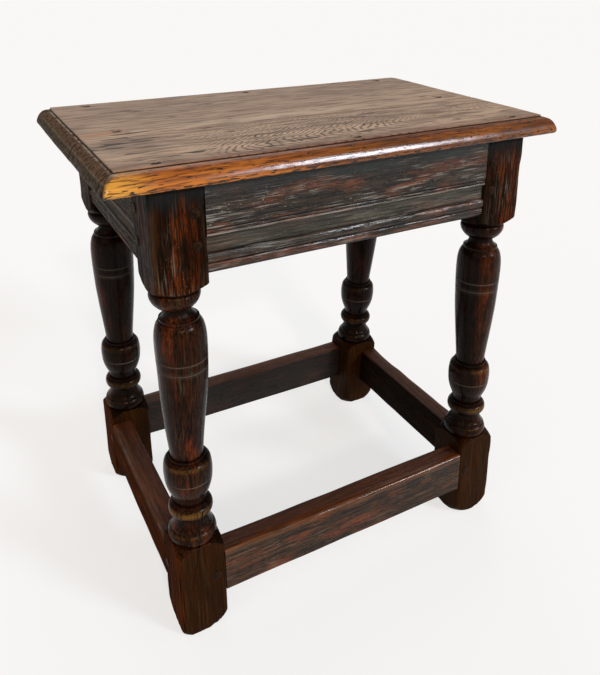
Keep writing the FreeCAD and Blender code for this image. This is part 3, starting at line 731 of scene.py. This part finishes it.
def riven_oak(name, deep, brown, grime):
    """Split oak pins seen end on: brown end grain with open pores, and a dark line of grime round it."""
    material, tree = new_material(name)
    grain = add(tree, "Attribute", attribute_name="grain").outputs["Vector"]
    worn = add(tree, "Attribute", attribute_name="worn").outputs["Fac"]
    rings = add(tree, "TexNoise", {"Vector": grain, "Scale": 1 / (3 * mm), "Detail": 3.0})
    tone = add(tree, "MapRange", {0: rings, 1: 0.40, 2: 0.60})
    colour = add(tree, "Mix", {0: tone, 6: deep, 7: brown}, data_type="RGBA")
    grimed = add(tree, "MapRange", {0: worn, 1: -0.2, 2: -0.9, 4: grime})
    colour = add(tree, "Mix", {0: grimed, 6: colour, 7: "#0d0906"}, data_type="RGBA")
    relief = add(tree, "Math", {0: rings, 1: 0.5 * mm}, operation="MULTIPLY")
    roughness = add(tree, "MapRange", {0: tone, 3: 0.5, 4: 0.62})
    finish(tree, colour, relief, roughness, 0.06)
    return material


peg_finish = riven_oak("oak, riven", "#120803", "#2c1a0c", 0.6)
for rail, heights in (("apron", apron_peg_heights), ("stretcher", stretcher_peg_heights)):
    for seed, (name, axis, side) in enumerate(rail_places, start=41):
        pegs = make_rail_pegs("riven_pegs_" + rail + "_" + name, axis, side, heights, seed)
        pegs.data.materials.append(peg_finish)
        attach(pegs, "root")
        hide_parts(rail + "_" + name + "_pegs")


# Seat
# Two oak planks laid edge to edge and pegged down, planed flat, with a step and a rounded nosing run
# along the four outer edges. Their top has gone grey brown and their front edge is rubbed to amber.

board_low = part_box("seat_plank_back")[0]
board_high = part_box("seat_plank_back")[1]
half_board_x = board_high.x
half_board_y = board_high.y
seam_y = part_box("seat_plank_front")[1].y
seat_top = board_high.z
moulding_width = 14 * mm
corner_rounding = 5 * mm
worn_corner_rounding = 12 * mm
plank_places = (("front", -half_board_y, 31), ("back", half_board_y, 32))


def edge_profile():
    """Inset from the board's edge and drop from its top: field, step and ledge, then a thumb moulding that
    slopes out, turns down and is rubbed round underneath, as a smooth curve through its points."""
    step = np.array([(14.0, 0.25), (14.0, 1.0), (13.9, 1.7), (13.6, 1.95), (13.0, 2.0)])
    thumb = np.array([(13.0, 2.0), (10.2, 2.7), (7.2, 4.2), (4.5, 6.6), (2.4, 9.6), (1.0, 12.4), (0.3, 14.6),
                      (0.4, 16.4), (1.4, 17.9), (3.4, 18.5)])
    return np.vstack([step, smooth_through(thumb, steps=3)[1:]]) * mm


def plank_ring(half_x, outer_y, inner_y, roundings):
    """A rectangle of points, the left and the right of its two outer corners rounded by drawing each corner
    square onto its circle."""
    along = np.linspace(-1, 1, 210)
    across = np.linspace(0, 1, int(abs(half_board_y * np.sign(outer_y) - seam_y) / (2.2 * mm)))
    end = np.full(len(across) - 1, half_x)
    side = np.ones(len(along) - 1)
    x = np.concatenate([along[:-1] * half_x, end, along[:0:-1] * half_x, -end])
    y = np.concatenate([side * outer_y, outer_y + across[:-1] * (inner_y - outer_y),
                        side * inner_y, inner_y + across[:-1] * (outer_y - inner_y)])
    way = np.sign(outer_y - inner_y)
    rounding = np.where(x > 0, roundings[1], roundings[0])
    over_x = np.abs(x) - (half_x - rounding)
    over_y = way * (y - (outer_y - way * rounding))
    in_corner = (over_x > 0) & (over_y > 0)
    reach = np.maximum(over_x, over_y) / np.maximum(np.hypot(over_x, over_y), 1e-9)
    x = np.where(in_corner, np.sign(x) * (half_x - rounding + over_x * reach), x)
    y = np.where(in_corner, outer_y - way * rounding + way * over_y * reach, y)
    return np.stack([x, y], axis=1)


def field_hollow(x, y, seed):
    """How far the top of a plank has worn down: broad hollows and the fine ridges of its grain."""
    broad = 0.35 * mm * (1 + waviness(x / (90 * mm), y / (40 * mm), seed))
    fine = 0.07 * mm * (1 + waviness(x / (50 * mm), y / (3 * mm), seed + 1))
    return broad + fine


def make_plank(name, outer_y, seed):
    """Rings that start at the middle line under the plank, go round its edge and close over the top."""
    way = np.sign(outer_y)
    half_width = abs(outer_y - seam_y) / 2
    profile = edge_profile()
    rounds = np.array([corner_rounding, worn_corner_rounding if way > 0 else corner_rounding])
    rings = []

    def lay(inset, from_seam, rounding, z):
        flat = plank_ring(half_board_x - inset, outer_y - way * inset, seam_y + way * from_seam, rounding)
        rings.append(np.column_stack([flat, np.full(len(flat), z)]))

    under_reach = half_width - profile[-1, 0] / 2
    for share in (1, 0.75, 0.5, 0.25, 0.04):
        lay(profile[-1, 0] + under_reach * share, under_reach * share, rounds * 0 + 1 * mm, board_low.z)
    for inset, drop in profile[::-1]:
        lay(inset, 0, np.maximum(rounds - inset * 0.6, 0.4 * mm), seat_top - drop)
    field_reach = half_width - moulding_width / 2
    for share in np.append(np.linspace(0, 0.96, 20) ** 1.5, 1):
        inset = field_reach * share
        lay(moulding_width + 0.25 * mm + inset, inset, np.maximum(rounds * 0.5 - inset, 0.3 * mm), seat_top)

    points = np.array(rings)
    grain = points + np.array([seed * 0.31, seed * 0.17, seed * 0.13])
    x, y, z = points[..., 0], points[..., 1], points[..., 2]
    from_top = seat_top - z
    on_field = from_top < 0.5 * mm
    z = z - field_hollow(x, y, seed) * np.clip(1 - from_top / (9 * mm), 0, 1)
    z = z - np.where(on_field, 0.5 * mm * np.exp(-np.abs(y - seam_y) / (0.7 * mm)), 0)
    edge_x = half_board_x - np.abs(x)
    edge_y = np.abs(outer_y) - np.abs(y)
    edge = np.minimum(edge_x, edge_y)
    rub = (0.35 * mm * (1 + waviness(x / (36 * mm), y / (36 * mm), seed + 2))
           + 0.10 * mm * (1 + waviness(x / (9 * mm), y / (9 * mm), seed + 3)))
    at_right_end = np.where(x > half_board_x - moulding_width, 0.7 * mm, 0)
    rub = rub + at_right_end * (1 + waviness(y / (34 * mm), 0 * y, seed))
    rub = rub * np.clip(1 - edge / (9 * mm), 0, 1) * np.clip(from_top / (4 * mm), 0, 1)
    x = np.where(edge_x <= edge_y, x - np.sign(x) * rub, x)
    y = np.where(edge_y < edge_x, y - way * rub, y)
    # The step's wall and floor are marked for painted shade.
    shaded_step = np.where((from_top > 1.2 * mm) & (edge > 13.4 * mm), -1.0, 0.0)
    # Marks where a grey sheen is painted on the ledge and a highlight along the turn.
    ledge = np.exp(-((edge - 12.4 * mm) / (0.9 * mm)) ** 2) * (from_top > 1.5 * mm)
    turn = np.exp(-((from_top - 7.8 * mm) / (0.7 * mm)) ** 2) * (edge < 8 * mm)
    marks = {"worn": np.where(on_field, 0.0, shaded_step), "ledge": ledge, "turn": turn}
    return ring_mesh(name, np.stack([x, y, z], axis=-1), grain, marks, fold_angle=40)


# The seat's own marks, each a place on its top, its half length and half width, its colour and its strength.
seat_marks = (
    ((-48 * mm, 25 * mm), (34 * mm, 6 * mm), "#6a5346", 0.5),
    ((80 * mm, 60 * mm), (95 * mm, 20 * mm), "#7b6454", 0.4),
    ((0 * mm, -11 * mm), (190 * mm, 12 * mm), "#cab59e", 0.55),
    ((-200 * mm, -12 * mm), (34 * mm, 9 * mm), "#b87f5a", 0.5),
    ((-190 * mm, -62 * mm), (44 * mm, 34 * mm), "#6f5b51", 0.55),
    ((-92 * mm, -53 * mm), (6 * mm, 2.2 * mm), "#241812", 0.9),
    ((125 * mm, -70 * mm), (22 * mm, 10 * mm), "#5a463a", 0.6),
    ((-100 * mm, 60 * mm), (80 * mm, 14 * mm), "#7f6c60", 0.35),
    ((-180 * mm, -119 * mm), (46 * mm, 1.3 * mm), "#33261e", 0.9),
)


def arch_figure(tree, place, grain, x, y):
    """Growth rings of the front plank: distance from a pith line just below its top, less a share of the
    length, gives pointed arches that open to the right, with one swirl round a buried knot."""
    arch_line, arch_drift, arch_depth, arch_taper, ring_width = -98 * mm, 0.12, 13 * mm, 0.45, 3.9 * mm
    wander = drawn_out(tree, grain, 38 * mm, 14 * mm, detail=2.0)
    across = add(tree, "Math", {0: x, 1: -arch_drift, 2: y}, operation="MULTIPLY_ADD")
    across = add(tree, "Math", {0: across, 1: -arch_line}, operation="ADD")
    across = add(tree, "Math", {0: across, 1: across}, operation="MULTIPLY")
    out = add(tree, "Math", {0: across, 1: arch_depth ** 2}, operation="ADD")
    out = add(tree, "Math", {0: out}, operation="SQRT")
    out = add(tree, "Math", {0: x, 1: -arch_taper, 2: out}, operation="MULTIPLY_ADD")
    out = add(tree, "Math", {0: wander, 1: 12 * mm, 2: out}, operation="MULTIPLY_ADD")
    knot_offset = add(tree, "VectorMath", {0: place, 1: (-118 * mm, 84 * mm, 0)}, operation="ADD")
    knot_reach = (1 / (26 * mm), 1 / (15 * mm), 0)
    knot = add(tree, "VectorMath", {0: knot_offset, 1: knot_reach}, operation="MULTIPLY")
    knot = add(tree, "VectorMath", {0: knot}, operation="LENGTH").outputs["Value"]
    swirl = add(tree, "MapRange", {0: knot, 1: 1.6, 2: 0.0, 4: -9 * mm}, interpolation_type="SMOOTHSTEP")
    out = add(tree, "Math", {0: out, 1: swirl}, operation="ADD")
    turns = add(tree, "Math", {0: out, 1: math.tau / ring_width}, operation="MULTIPLY")
    arches = add(tree, "Math", {0: turns}, operation="SINE")
    arches = add(tree, "MapRange", {0: arches, 1: 0.0, 2: 0.8})
    dashes = drawn_out(tree, grain, 8 * mm, 5 * mm, detail=0.0)
    dashed = add(tree, "MapRange", {0: dashes, 1: 0.36, 2: 0.50, 3: 0.5})
    arches = add(tree, "Math", {0: arches, 1: dashed}, operation="MULTIPLY")
    from_left = add(tree, "MapRange", {0: x, 1: -150 * mm, 2: -112 * mm, 3: 0.1})
    to_right = add(tree, "MapRange", {0: x, 1: 110 * mm, 2: 40 * mm, 3: 0.35})
    from_seam = add(tree, "MapRange", {0: y, 1: -25 * mm, 2: -70 * mm, 3: 0.4})
    on_front = add(tree, "Math", {0: y, 1: seam_y}, operation="LESS_THAN")
    for share in (from_left, to_right, from_seam, on_front):
        arches = add(tree, "Math", {0: arches, 1: share}, operation="MULTIPLY")
    return arches


def seat_layers(tree):
    """What all the seat's finishes read: the place in the timber and along the three axes, a mottle, and one
    dark mark for the seam and the painted shade in the step."""
    grain = add(tree, "Attribute", attribute_name="grain").outputs["Vector"]
    worn = add(tree, "Attribute", attribute_name="worn").outputs["Fac"]
    axes = add(tree, "SeparateXYZ", {0: add(tree, "TexCoord").outputs["Object"]})
    mottle = add(tree, "TexNoise", {"Vector": grain, "Scale": 1 / (9 * mm), "Detail": 4.0})
    from_seam = add(tree, "Math", {0: axes.outputs["Y"], 1: -seam_y}, operation="ADD")
    from_seam = add(tree, "Math", {0: from_seam}, operation="ABSOLUTE")
    seam = add(tree, "MapRange", {0: from_seam, 1: 1.0 * mm, 2: 0.3 * mm, 4: 0.75})
    # Painted shade in the step, from the worn mark.
    hollow = add(tree, "MapRange", {0: worn, 1: -0.1, 2: -0.7, 4: 0.9})
    gap = add(tree, "Math", {0: seam, 1: hollow}, operation="MAXIMUM")
    return grain, axes, mottle, gap


def scrubbed_oak():
    """Oak planed flat and scrubbed, its wax gone grey: growth rings show as arches on the front plank and as
    straight lines on the back one, with open pores and, towards the left end, drying checks."""
    material, tree = new_material("oak, planed and scrubbed")
    grain, axes, mottle, gap = seat_layers(tree)
    x, y = axes.outputs["X"], axes.outputs["Y"]
    place = add(tree, "TexCoord").outputs["Object"]
    fibres = drawn_out(tree, grain, 42 * mm, 4.6 * mm, detail=3.0)
    arches = arch_figure(tree, place, grain, x, y)

    # Straight figure, open pores and checks, all drawn out along the fibres and wider than real ones: in the
    # photograph's low view a millimetre across the grain is only a sixth to a third of a pixel wide.
    bands = drawn_out(tree, grain, 160 * mm, 14 * mm, detail=3.0)
    pores = drawn_out(tree, grain, 34 * mm, 3.6 * mm, detail=1.0)
    open_pore = add(tree, "MapRange", {0: pores, 1: 0.58, 2: 0.70})
    checks_y = -58 * mm
    checks = drawn_out(tree, grain, 34 * mm, 6 * mm, detail=1.0)
    at_end = add(tree, "MapRange", {0: x, 1: -110 * mm, 2: -190 * mm})
    off_checks = add(tree, "Math", {0: y, 1: -checks_y}, operation="ADD")
    off_checks = add(tree, "Math", {0: off_checks}, operation="ABSOLUTE")
    in_checks = add(tree, "MapRange", {0: off_checks, 1: 62 * mm, 2: 26 * mm, 4: 0.12})
    eased_checks = add(tree, "Math", {0: at_end, 1: in_checks}, operation="MULTIPLY")
    check = add(tree, "Math", {0: checks, 1: eased_checks}, operation="ADD")
    check = add(tree, "MapRange", {0: check, 1: 0.695, 2: 0.725})

    back_tone = add(tree, "MapRange", {0: y, 1: -70 * mm, 2: 80 * mm})
    field = add(tree, "Mix", {0: back_tone, 6: "#c2a68d", 7: "#a48b78"}, data_type="RGBA")
    band_tone = add(tree, "MapRange", {0: bands, 1: 0.40, 2: 0.64, 4: 0.45})
    fibre_tone = add(tree, "MapRange", {0: fibres, 1: 0.46, 2: 0.60, 4: 0.6})
    arch_tone = add(tree, "Math", {0: arches, 1: 0.9}, operation="MULTIPLY")
    for share, tint in ((band_tone, "#866f60"), (fibre_tone, "#6f594b"), (arch_tone, "#46342a")):
        field = add(tree, "Mix", {0: share, 6: field, 7: tint}, data_type="RGBA")
    for (mark_x, mark_y), (half_length, half_width), mark_colour, strength in seat_marks:
        offset = add(tree, "VectorMath", {0: place, 1: (-mark_x, -mark_y, 0)}, operation="ADD")
        spread = (1 / half_length, 1 / half_width, 0)
        scaled = add(tree, "VectorMath", {0: offset, 1: spread}, operation="MULTIPLY")
        reach = add(tree, "VectorMath", {0: scaled}, operation="LENGTH").outputs["Value"]
        ragged = add(tree, "Math", {0: fibres, 1: 0.9, 2: reach}, operation="MULTIPLY_ADD")
        inside = add(tree, "MapRange", {0: ragged, 1: 1.5, 2: 0.7, 4: strength},
                     interpolation_type="SMOOTHSTEP")
        field = add(tree, "Mix", {0: inside, 6: field, 7: mark_colour}, data_type="RGBA")
    reddened = add(tree, "MapRange", {0: y, 1: -112 * mm, 2: -130 * mm, 4: 0.7})
    field = add(tree, "Mix", {0: reddened, 6: field, 7: "#694030"}, data_type="RGBA")

    dark = add(tree, "Math", {0: open_pore, 1: 0.55}, operation="MULTIPLY")
    dark = add(tree, "Math", {0: dark, 1: check}, operation="MAXIMUM")
    dark = add(tree, "Math", {0: dark, 1: gap}, operation="MAXIMUM")
    dark_share = add(tree, "Math", {0: dark, 1: 0.85}, operation="MULTIPLY")
    colour = add(tree, "Mix", {0: dark_share, 6: field, 7: "#1c120c"}, data_type="RGBA")
    relief = 0.0
    for layer, height in ((dark, -0.35 * mm), (fibres, 0.6 * mm), (arches, -0.1 * mm), (mottle, 0.15 * mm)):
        relief = add(tree, "Math", {0: layer, 1: height, 2: relief}, operation="MULTIPLY_ADD")
    roughness = add(tree, "Math", {0: fibre_tone, 1: 0.1, 2: 0.42}, operation="MULTIPLY_ADD")
    finish(tree, colour, relief, roughness, 0.35)
    return material


def closed_oak():
    """The end and back mouldings, end grain closed with old polish: a mottled brown, with a painted pale grey
    sheen on the ledge, painted shade under the turn, a painted highlight along it, and one drying crack."""
    material, tree = new_material("oak, moulded and closed")
    grain, axes, mottle, gap = seat_layers(tree)
    x, y, z = axes.outputs["X"], axes.outputs["Y"], axes.outputs["Z"]
    ledge = add(tree, "Attribute", attribute_name="ledge").outputs["Fac"]
    turn = add(tree, "Attribute", attribute_name="turn").outputs["Fac"]
    specks = add(tree, "TexNoise", {"Vector": grain, "Scale": 1 / (3.5 * mm), "Detail": 3.0})
    mottled = add(tree, "MapRange", {0: specks, 1: 0.36, 2: 0.64})
    colour = add(tree, "Mix", {0: mottled, 6: "#6a5341", 7: "#3c2b1d"}, data_type="RGBA")
    # Painted shade below the turn, a painted grey sheen on the ledge and a painted highlight along the turn.
    low = add(tree, "MapRange", {0: z, 1: seat_top - 7.5 * mm, 2: seat_top - 8.5 * mm, 4: 0.85})
    under = add(tree, "Mix", {0: mottled, 6: "#463b2e", 7: "#261e15"}, data_type="RGBA")
    greyed_and_sheen = add(tree, "MapRange", {0: mottle, 1: 0.62, 2: 0.46, 4: 0.9})
    greyed_and_sheen = add(tree, "Math", {0: greyed_and_sheen, 1: ledge}, operation="MULTIPLY")
    arris_highlight = add(tree, "Math", {0: turn, 1: 0.35}, operation="MULTIPLY")
    crack_y = -122 * mm
    wavering = add(tree, "Math", {0: mottle, 1: 9 * mm, 2: y}, operation="MULTIPLY_ADD")
    from_crack = add(tree, "Math", {0: wavering, 1: -crack_y}, operation="ADD")
    from_crack = add(tree, "Math", {0: from_crack}, operation="ABSOLUTE")
    crack = add(tree, "MapRange", {0: from_crack, 1: 1.0 * mm, 2: 0.4 * mm, 4: 0.9})
    on_left = add(tree, "Math", {0: x, 1: 0.0}, operation="LESS_THAN")
    crack = add(tree, "Math", {0: crack, 1: on_left}, operation="MULTIPLY")
    dark = add(tree, "Math", {0: gap, 1: crack}, operation="MAXIMUM")
    for share, tint in ((low, under), (greyed_and_sheen, "#a89e96"), (arris_highlight, "#857765"), (dark, "#120c07")):
        colour = add(tree, "Mix", {0: share, 6: colour, 7: tint}, data_type="RGBA")
    relief = add(tree, "Math", {0: dark, 1: -0.4 * mm}, operation="MULTIPLY")
    relief = add(tree, "Math", {0: mottle, 1: 0.5 * mm, 2: relief}, operation="MULTIPLY_ADD")
    roughness = add(tree, "MapRange", {0: mottled, 3: 0.55, 4: 0.7})
    finish(tree, colour, relief, roughness, 0.08)
    return material


def rubbed_oak():
    """The front moulding, rubbed through its stain to amber and polished by hands: golden at its left corner,
    browner to the right, with black open pores, chips along its lower edge and a painted grey sheen on its
    ledge. Its pores are drawn wider than real ones, so that a render shows them."""
    material, tree = new_material("oak, moulded and rubbed")
    grain, axes, mottle, gap = seat_layers(tree)
    x, y, z = axes.outputs["X"], axes.outputs["Y"], axes.outputs["Z"]
    ledge = add(tree, "Attribute", attribute_name="ledge").outputs["Fac"]
    glow = drawn_out(tree, grain, 60 * mm, 4.0 * mm, detail=3.0)
    glow = add(tree, "MapRange", {0: glow, 1: 0.38, 2: 0.60})
    left = add(tree, "Mix", {0: glow, 6: "#b46a20", 7: "#85450f"}, data_type="RGBA")
    right = add(tree, "Mix", {0: glow, 6: "#814910", 7: "#532908"}, data_type="RGBA")
    to_the_right = add(tree, "MapRange", {0: x, 1: -140 * mm, 2: -10 * mm})
    colour = add(tree, "Mix", {0: to_the_right, 6: left, 7: right}, data_type="RGBA")
    corner = add(tree, "MapRange", {0: x, 1: -190 * mm, 2: -216 * mm, 4: 0.5})
    upper = add(tree, "MapRange", {0: z, 1: seat_top - 7 * mm, 2: seat_top - 3 * mm, 4: 0.35})
    pores = drawn_out(tree, grain, 16 * mm, 1.2 * mm, detail=1.0)
    open_pore = add(tree, "MapRange", {0: pores, 1: 0.50, 2: 0.64, 4: 0.75})
    near_mitre = add(tree, "Math", {0: x, 1: half_board_x - half_board_y}, operation="ADD")
    near_mitre = add(tree, "Math", {0: near_mitre, 1: y}, operation="SUBTRACT")
    near_mitre = add(tree, "Math", {0: mottle, 1: 8 * mm, 2: near_mitre}, operation="MULTIPLY_ADD")
    stained = add(tree, "MapRange", {0: near_mitre, 1: 8 * mm, 2: 5.5 * mm, 4: 0.9})
    chips = drawn_out(tree, grain, 9 * mm, 1.6 * mm, detail=1.0)
    chipped = add(tree, "MapRange", {0: z, 1: seat_top - 13 * mm, 2: seat_top - 16.5 * mm, 4: 0.14})
    chipped = add(tree, "Math", {0: chips, 1: chipped}, operation="ADD")
    chipped = add(tree, "MapRange", {0: chipped, 1: 0.66, 2: 0.68, 4: 0.9})
    # A painted grey sheen on the ledge.
    ledge_sheen_share = add(tree, "Math", {0: ledge, 1: 0.9}, operation="MULTIPLY")
    dust_and_sheen = add(tree, "Mix", {0: to_the_right, 6: "#857c6e", 7: "#5f4a3c"}, data_type="RGBA")
    layers = ((corner, "#eab048"), (upper, "#70361a"), (open_pore, "#2c1405"), (stained, "#4c3826"),
              (chipped, "#0c0502"), (ledge_sheen_share, dust_and_sheen), (gap, "#160d07"))
    for share, tint in layers:
        colour = add(tree, "Mix", {0: share, 6: colour, 7: tint}, data_type="RGBA")
    relief = 0.0
    for layer, height in ((gap, -0.3 * mm), (open_pore, -0.02 * mm), (chipped, -0.2 * mm)):
        relief = add(tree, "Math", {0: layer, 1: height, 2: relief}, operation="MULTIPLY_ADD")
    roughness = add(tree, "MapRange", {0: open_pore, 3: 0.17, 4: 0.26})
    finish(tree, colour, relief, roughness, 0.5)
    return material


def part_board(plank):
    """Gives the field the first finish of a plank, the end and back mouldings the second and the front
    moulding the third, by where each face lies. The front one is mitred to the ends at the corners."""
    faces = plank.data.polygons
    centres = np.empty(len(faces) * 3)
    faces.foreach_get("center", centres)
    x, y = centres.reshape(-1, 3)[:, 0], centres.reshape(-1, 3)[:, 1]
    edge_x, edge_y = half_board_x - np.abs(x), half_board_y - np.abs(y)
    moulded = np.minimum(edge_x, edge_y) < moulding_width - 0.05 * mm
    front = moulded & (y < 0) & (edge_y <= edge_x)
    faces.foreach_set("material_index", (moulded + front.astype(int)).astype(np.int32))


seat_finishes = (scrubbed_oak(), closed_oak(), rubbed_oak())
for name, outer_y, seed in plank_places:
    plank = make_plank("seat_board_" + name, outer_y, seed)
    for material in seat_finishes:
        plank.data.materials.append(material)
    part_board(plank)
    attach(plank, "root")
    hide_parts("seat_plank_" + name)

# The pegs of the seat: four into the legs, two into the long aprons and two into the end ones beside the
# seam, cut off level with the planks and worn down with them.
seat_peg_x = 184.5 * mm
seat_peg_y = 118 * mm
seat_peg_beside_seam = -5 * mm
seat_peg_radius = 6.2 * mm
seat_peg_tip_radius = 5.6 * mm
seat_peg_crown = 0.35 * mm
seat_peg_length = 46.5 * mm
seat_peg_places = [(end * seat_peg_x, way * seat_peg_y) for way in (-1, 1) for end in (-1, 0, 1)]
seat_peg_places += [(end * seat_peg_x, seat_peg_beside_seam) for end in (-1, 1)]


def make_seat_pegs():
    """Pegs straight down through the planks; the front half of each rim is open and full of grime."""
    shells, grains, grimed = [], [], []
    for number, (peg_x, peg_y) in enumerate(seat_peg_places):
        plank_seed = plank_places[0 if peg_y < seam_y else 1][2]
        level = seat_top - field_hollow(np.array(peg_x), np.array(peg_y), plank_seed)
        out, across, along = riven(seat_peg_length, seat_peg_radius, seat_peg_tip_radius, seat_peg_crown,
                                   number)
        z = np.minimum(level + out, seat_top)
        shells.append(np.stack([peg_x + across, peg_y + along, z], axis=-1))
        grains.append(np.stack([out, across, along], axis=-1) + number * 0.1)
        open_side = along + 0.55 * np.abs(across) < -0.1 * seat_peg_radius
        open_side = open_side & (np.hypot(across, along) > seat_peg_radius * 0.6)
        grimed.append(np.where(open_side, -1.0, 0.0))
    return ring_mesh("riven_pegs_seat", np.array(shells), np.array(grains), {"worn": np.array(grimed)})


seat_pegs = make_seat_pegs()
seat_pegs.data.materials.append(riven_oak("oak, riven and scrubbed", "#7c675a", "#a08c7d", 0.95))
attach(seat_pegs, "root")
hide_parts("seat_pegs")


# Camera
# It stands where the photograph was taken from: in front of the left end, and above the seat.

photo_width, photo_height = 600, 675
lens_in_pixels = 680.3
optical_centre = (287.9, 233.3)
sensor_width = 36
camera_place = (-332.1 * mm, -612.0 * mm, 627.1 * mm)
camera_turns = (67.84, -0.35, -28.02)

camera_data = bpy.data.cameras.new("camera")
camera_data.sensor_width = sensor_width
camera_data.lens = lens_in_pixels / photo_height * sensor_width
camera_data.shift_x = (photo_width / 2 - optical_centre[0]) / photo_height
camera_data.shift_y = (optical_centre[1] - photo_height / 2) / photo_height
camera = bpy.data.objects.new("camera", camera_data)
camera.location = camera_place
camera.rotation_euler = [math.radians(turn) for turn in camera_turns]
bpy.context.scene.collection.objects.link(camera)
bpy.context.scene.camera = camera


# Floor and light
# A plain pale floor under soft studio light: a window low at the front right, a small warm one in front that
# glints on the turning, weak ones at the left and behind, and an even pale room.

floor_reach = 60
floor_whiteness = 0.65
room_strength = 0.40
floor_mesh = bpy.data.meshes.new("floor")
floor_corners = [(-floor_reach, -floor_reach, 0), (floor_reach, -floor_reach, 0),
                 (floor_reach, floor_reach, 0), (-floor_reach, floor_reach, 0)]
floor_mesh.from_pydata(floor_corners, [], [(0, 1, 2, 3)])
floor_paint, floor_tree = new_material("floor, matt white paint")
floor_shader = floor_tree.nodes["Principled BSDF"]
floor_shader.inputs["Base Color"].default_value = linear("#fbfbfa")
floor_shader.inputs["Roughness"].default_value = 0.8
floor_shader.inputs["Specular IOR Level"].default_value = 0.1

# The eye and mirror reflections see the floor two thirds white, which thins the stool's shadow but keeps it.
paths = add(floor_tree, "LightPath")
seen = paths.outputs["Is Camera Ray"]
for ray in ("Is Glossy Ray", "Is Transmission Ray"):
    seen = add(floor_tree, "Math", {0: seen, 1: paths.outputs[ray]}, operation="MAXIMUM")
whitened = add(floor_tree, "Math", {0: seen, 1: floor_whiteness}, operation="MULTIPLY")
white = add(floor_tree, "Emission", {"Color": "#ffffff", "Strength": 1.0})
floor_mix = add(floor_tree, "MixShader", {0: whitened, 1: floor_shader.outputs[0], 2: white})
floor_tree.links.new(floor_mix.outputs[0], floor_tree.nodes["Material Output"].inputs["Surface"])
floor_mesh.materials.append(floor_paint)
floor = bpy.data.objects.new("floor", floor_mesh)
bpy.context.scene.collection.objects.link(floor)

world = bpy.data.worlds.new("room")
bpy.context.scene.world = world
world.use_nodes = True
room_light = world.node_tree.nodes["Background"]
room_light.inputs["Color"].default_value = linear("#fbf6ef")
room_light.inputs["Strength"].default_value = room_strength

# Each window's heading turns anticlockwise from straight in front of the stool, seen from above; then come
# its rise over the floor and its spread, both in degrees, its strength and its colour.
windows = (("window_right", 37, 25, 14, 2.0, "#f0f5ff"), ("window_front", -8, 32, 5, 0.9, "#ffe6c4"),
           ("window_left", -62, 32, 40, 0.3, "#ffe3c0"), ("window_behind", 160, 50, 40, 0.35, "#ffffff"))
for name, heading, rise, spread, strength, colour in windows:
    data = bpy.data.lights.new(name, "SUN")
    data.energy = strength
    data.color = linear(colour)[:3]
    data.angle = math.radians(spread)
    lamp = bpy.data.objects.new(name, data)
    lamp.rotation_euler = (math.radians(90 - rise), 0, math.radians(heading))
    bpy.context.scene.collection.objects.link(lamp)

bpy.context.scene.view_settings.view_transform = "Standard"
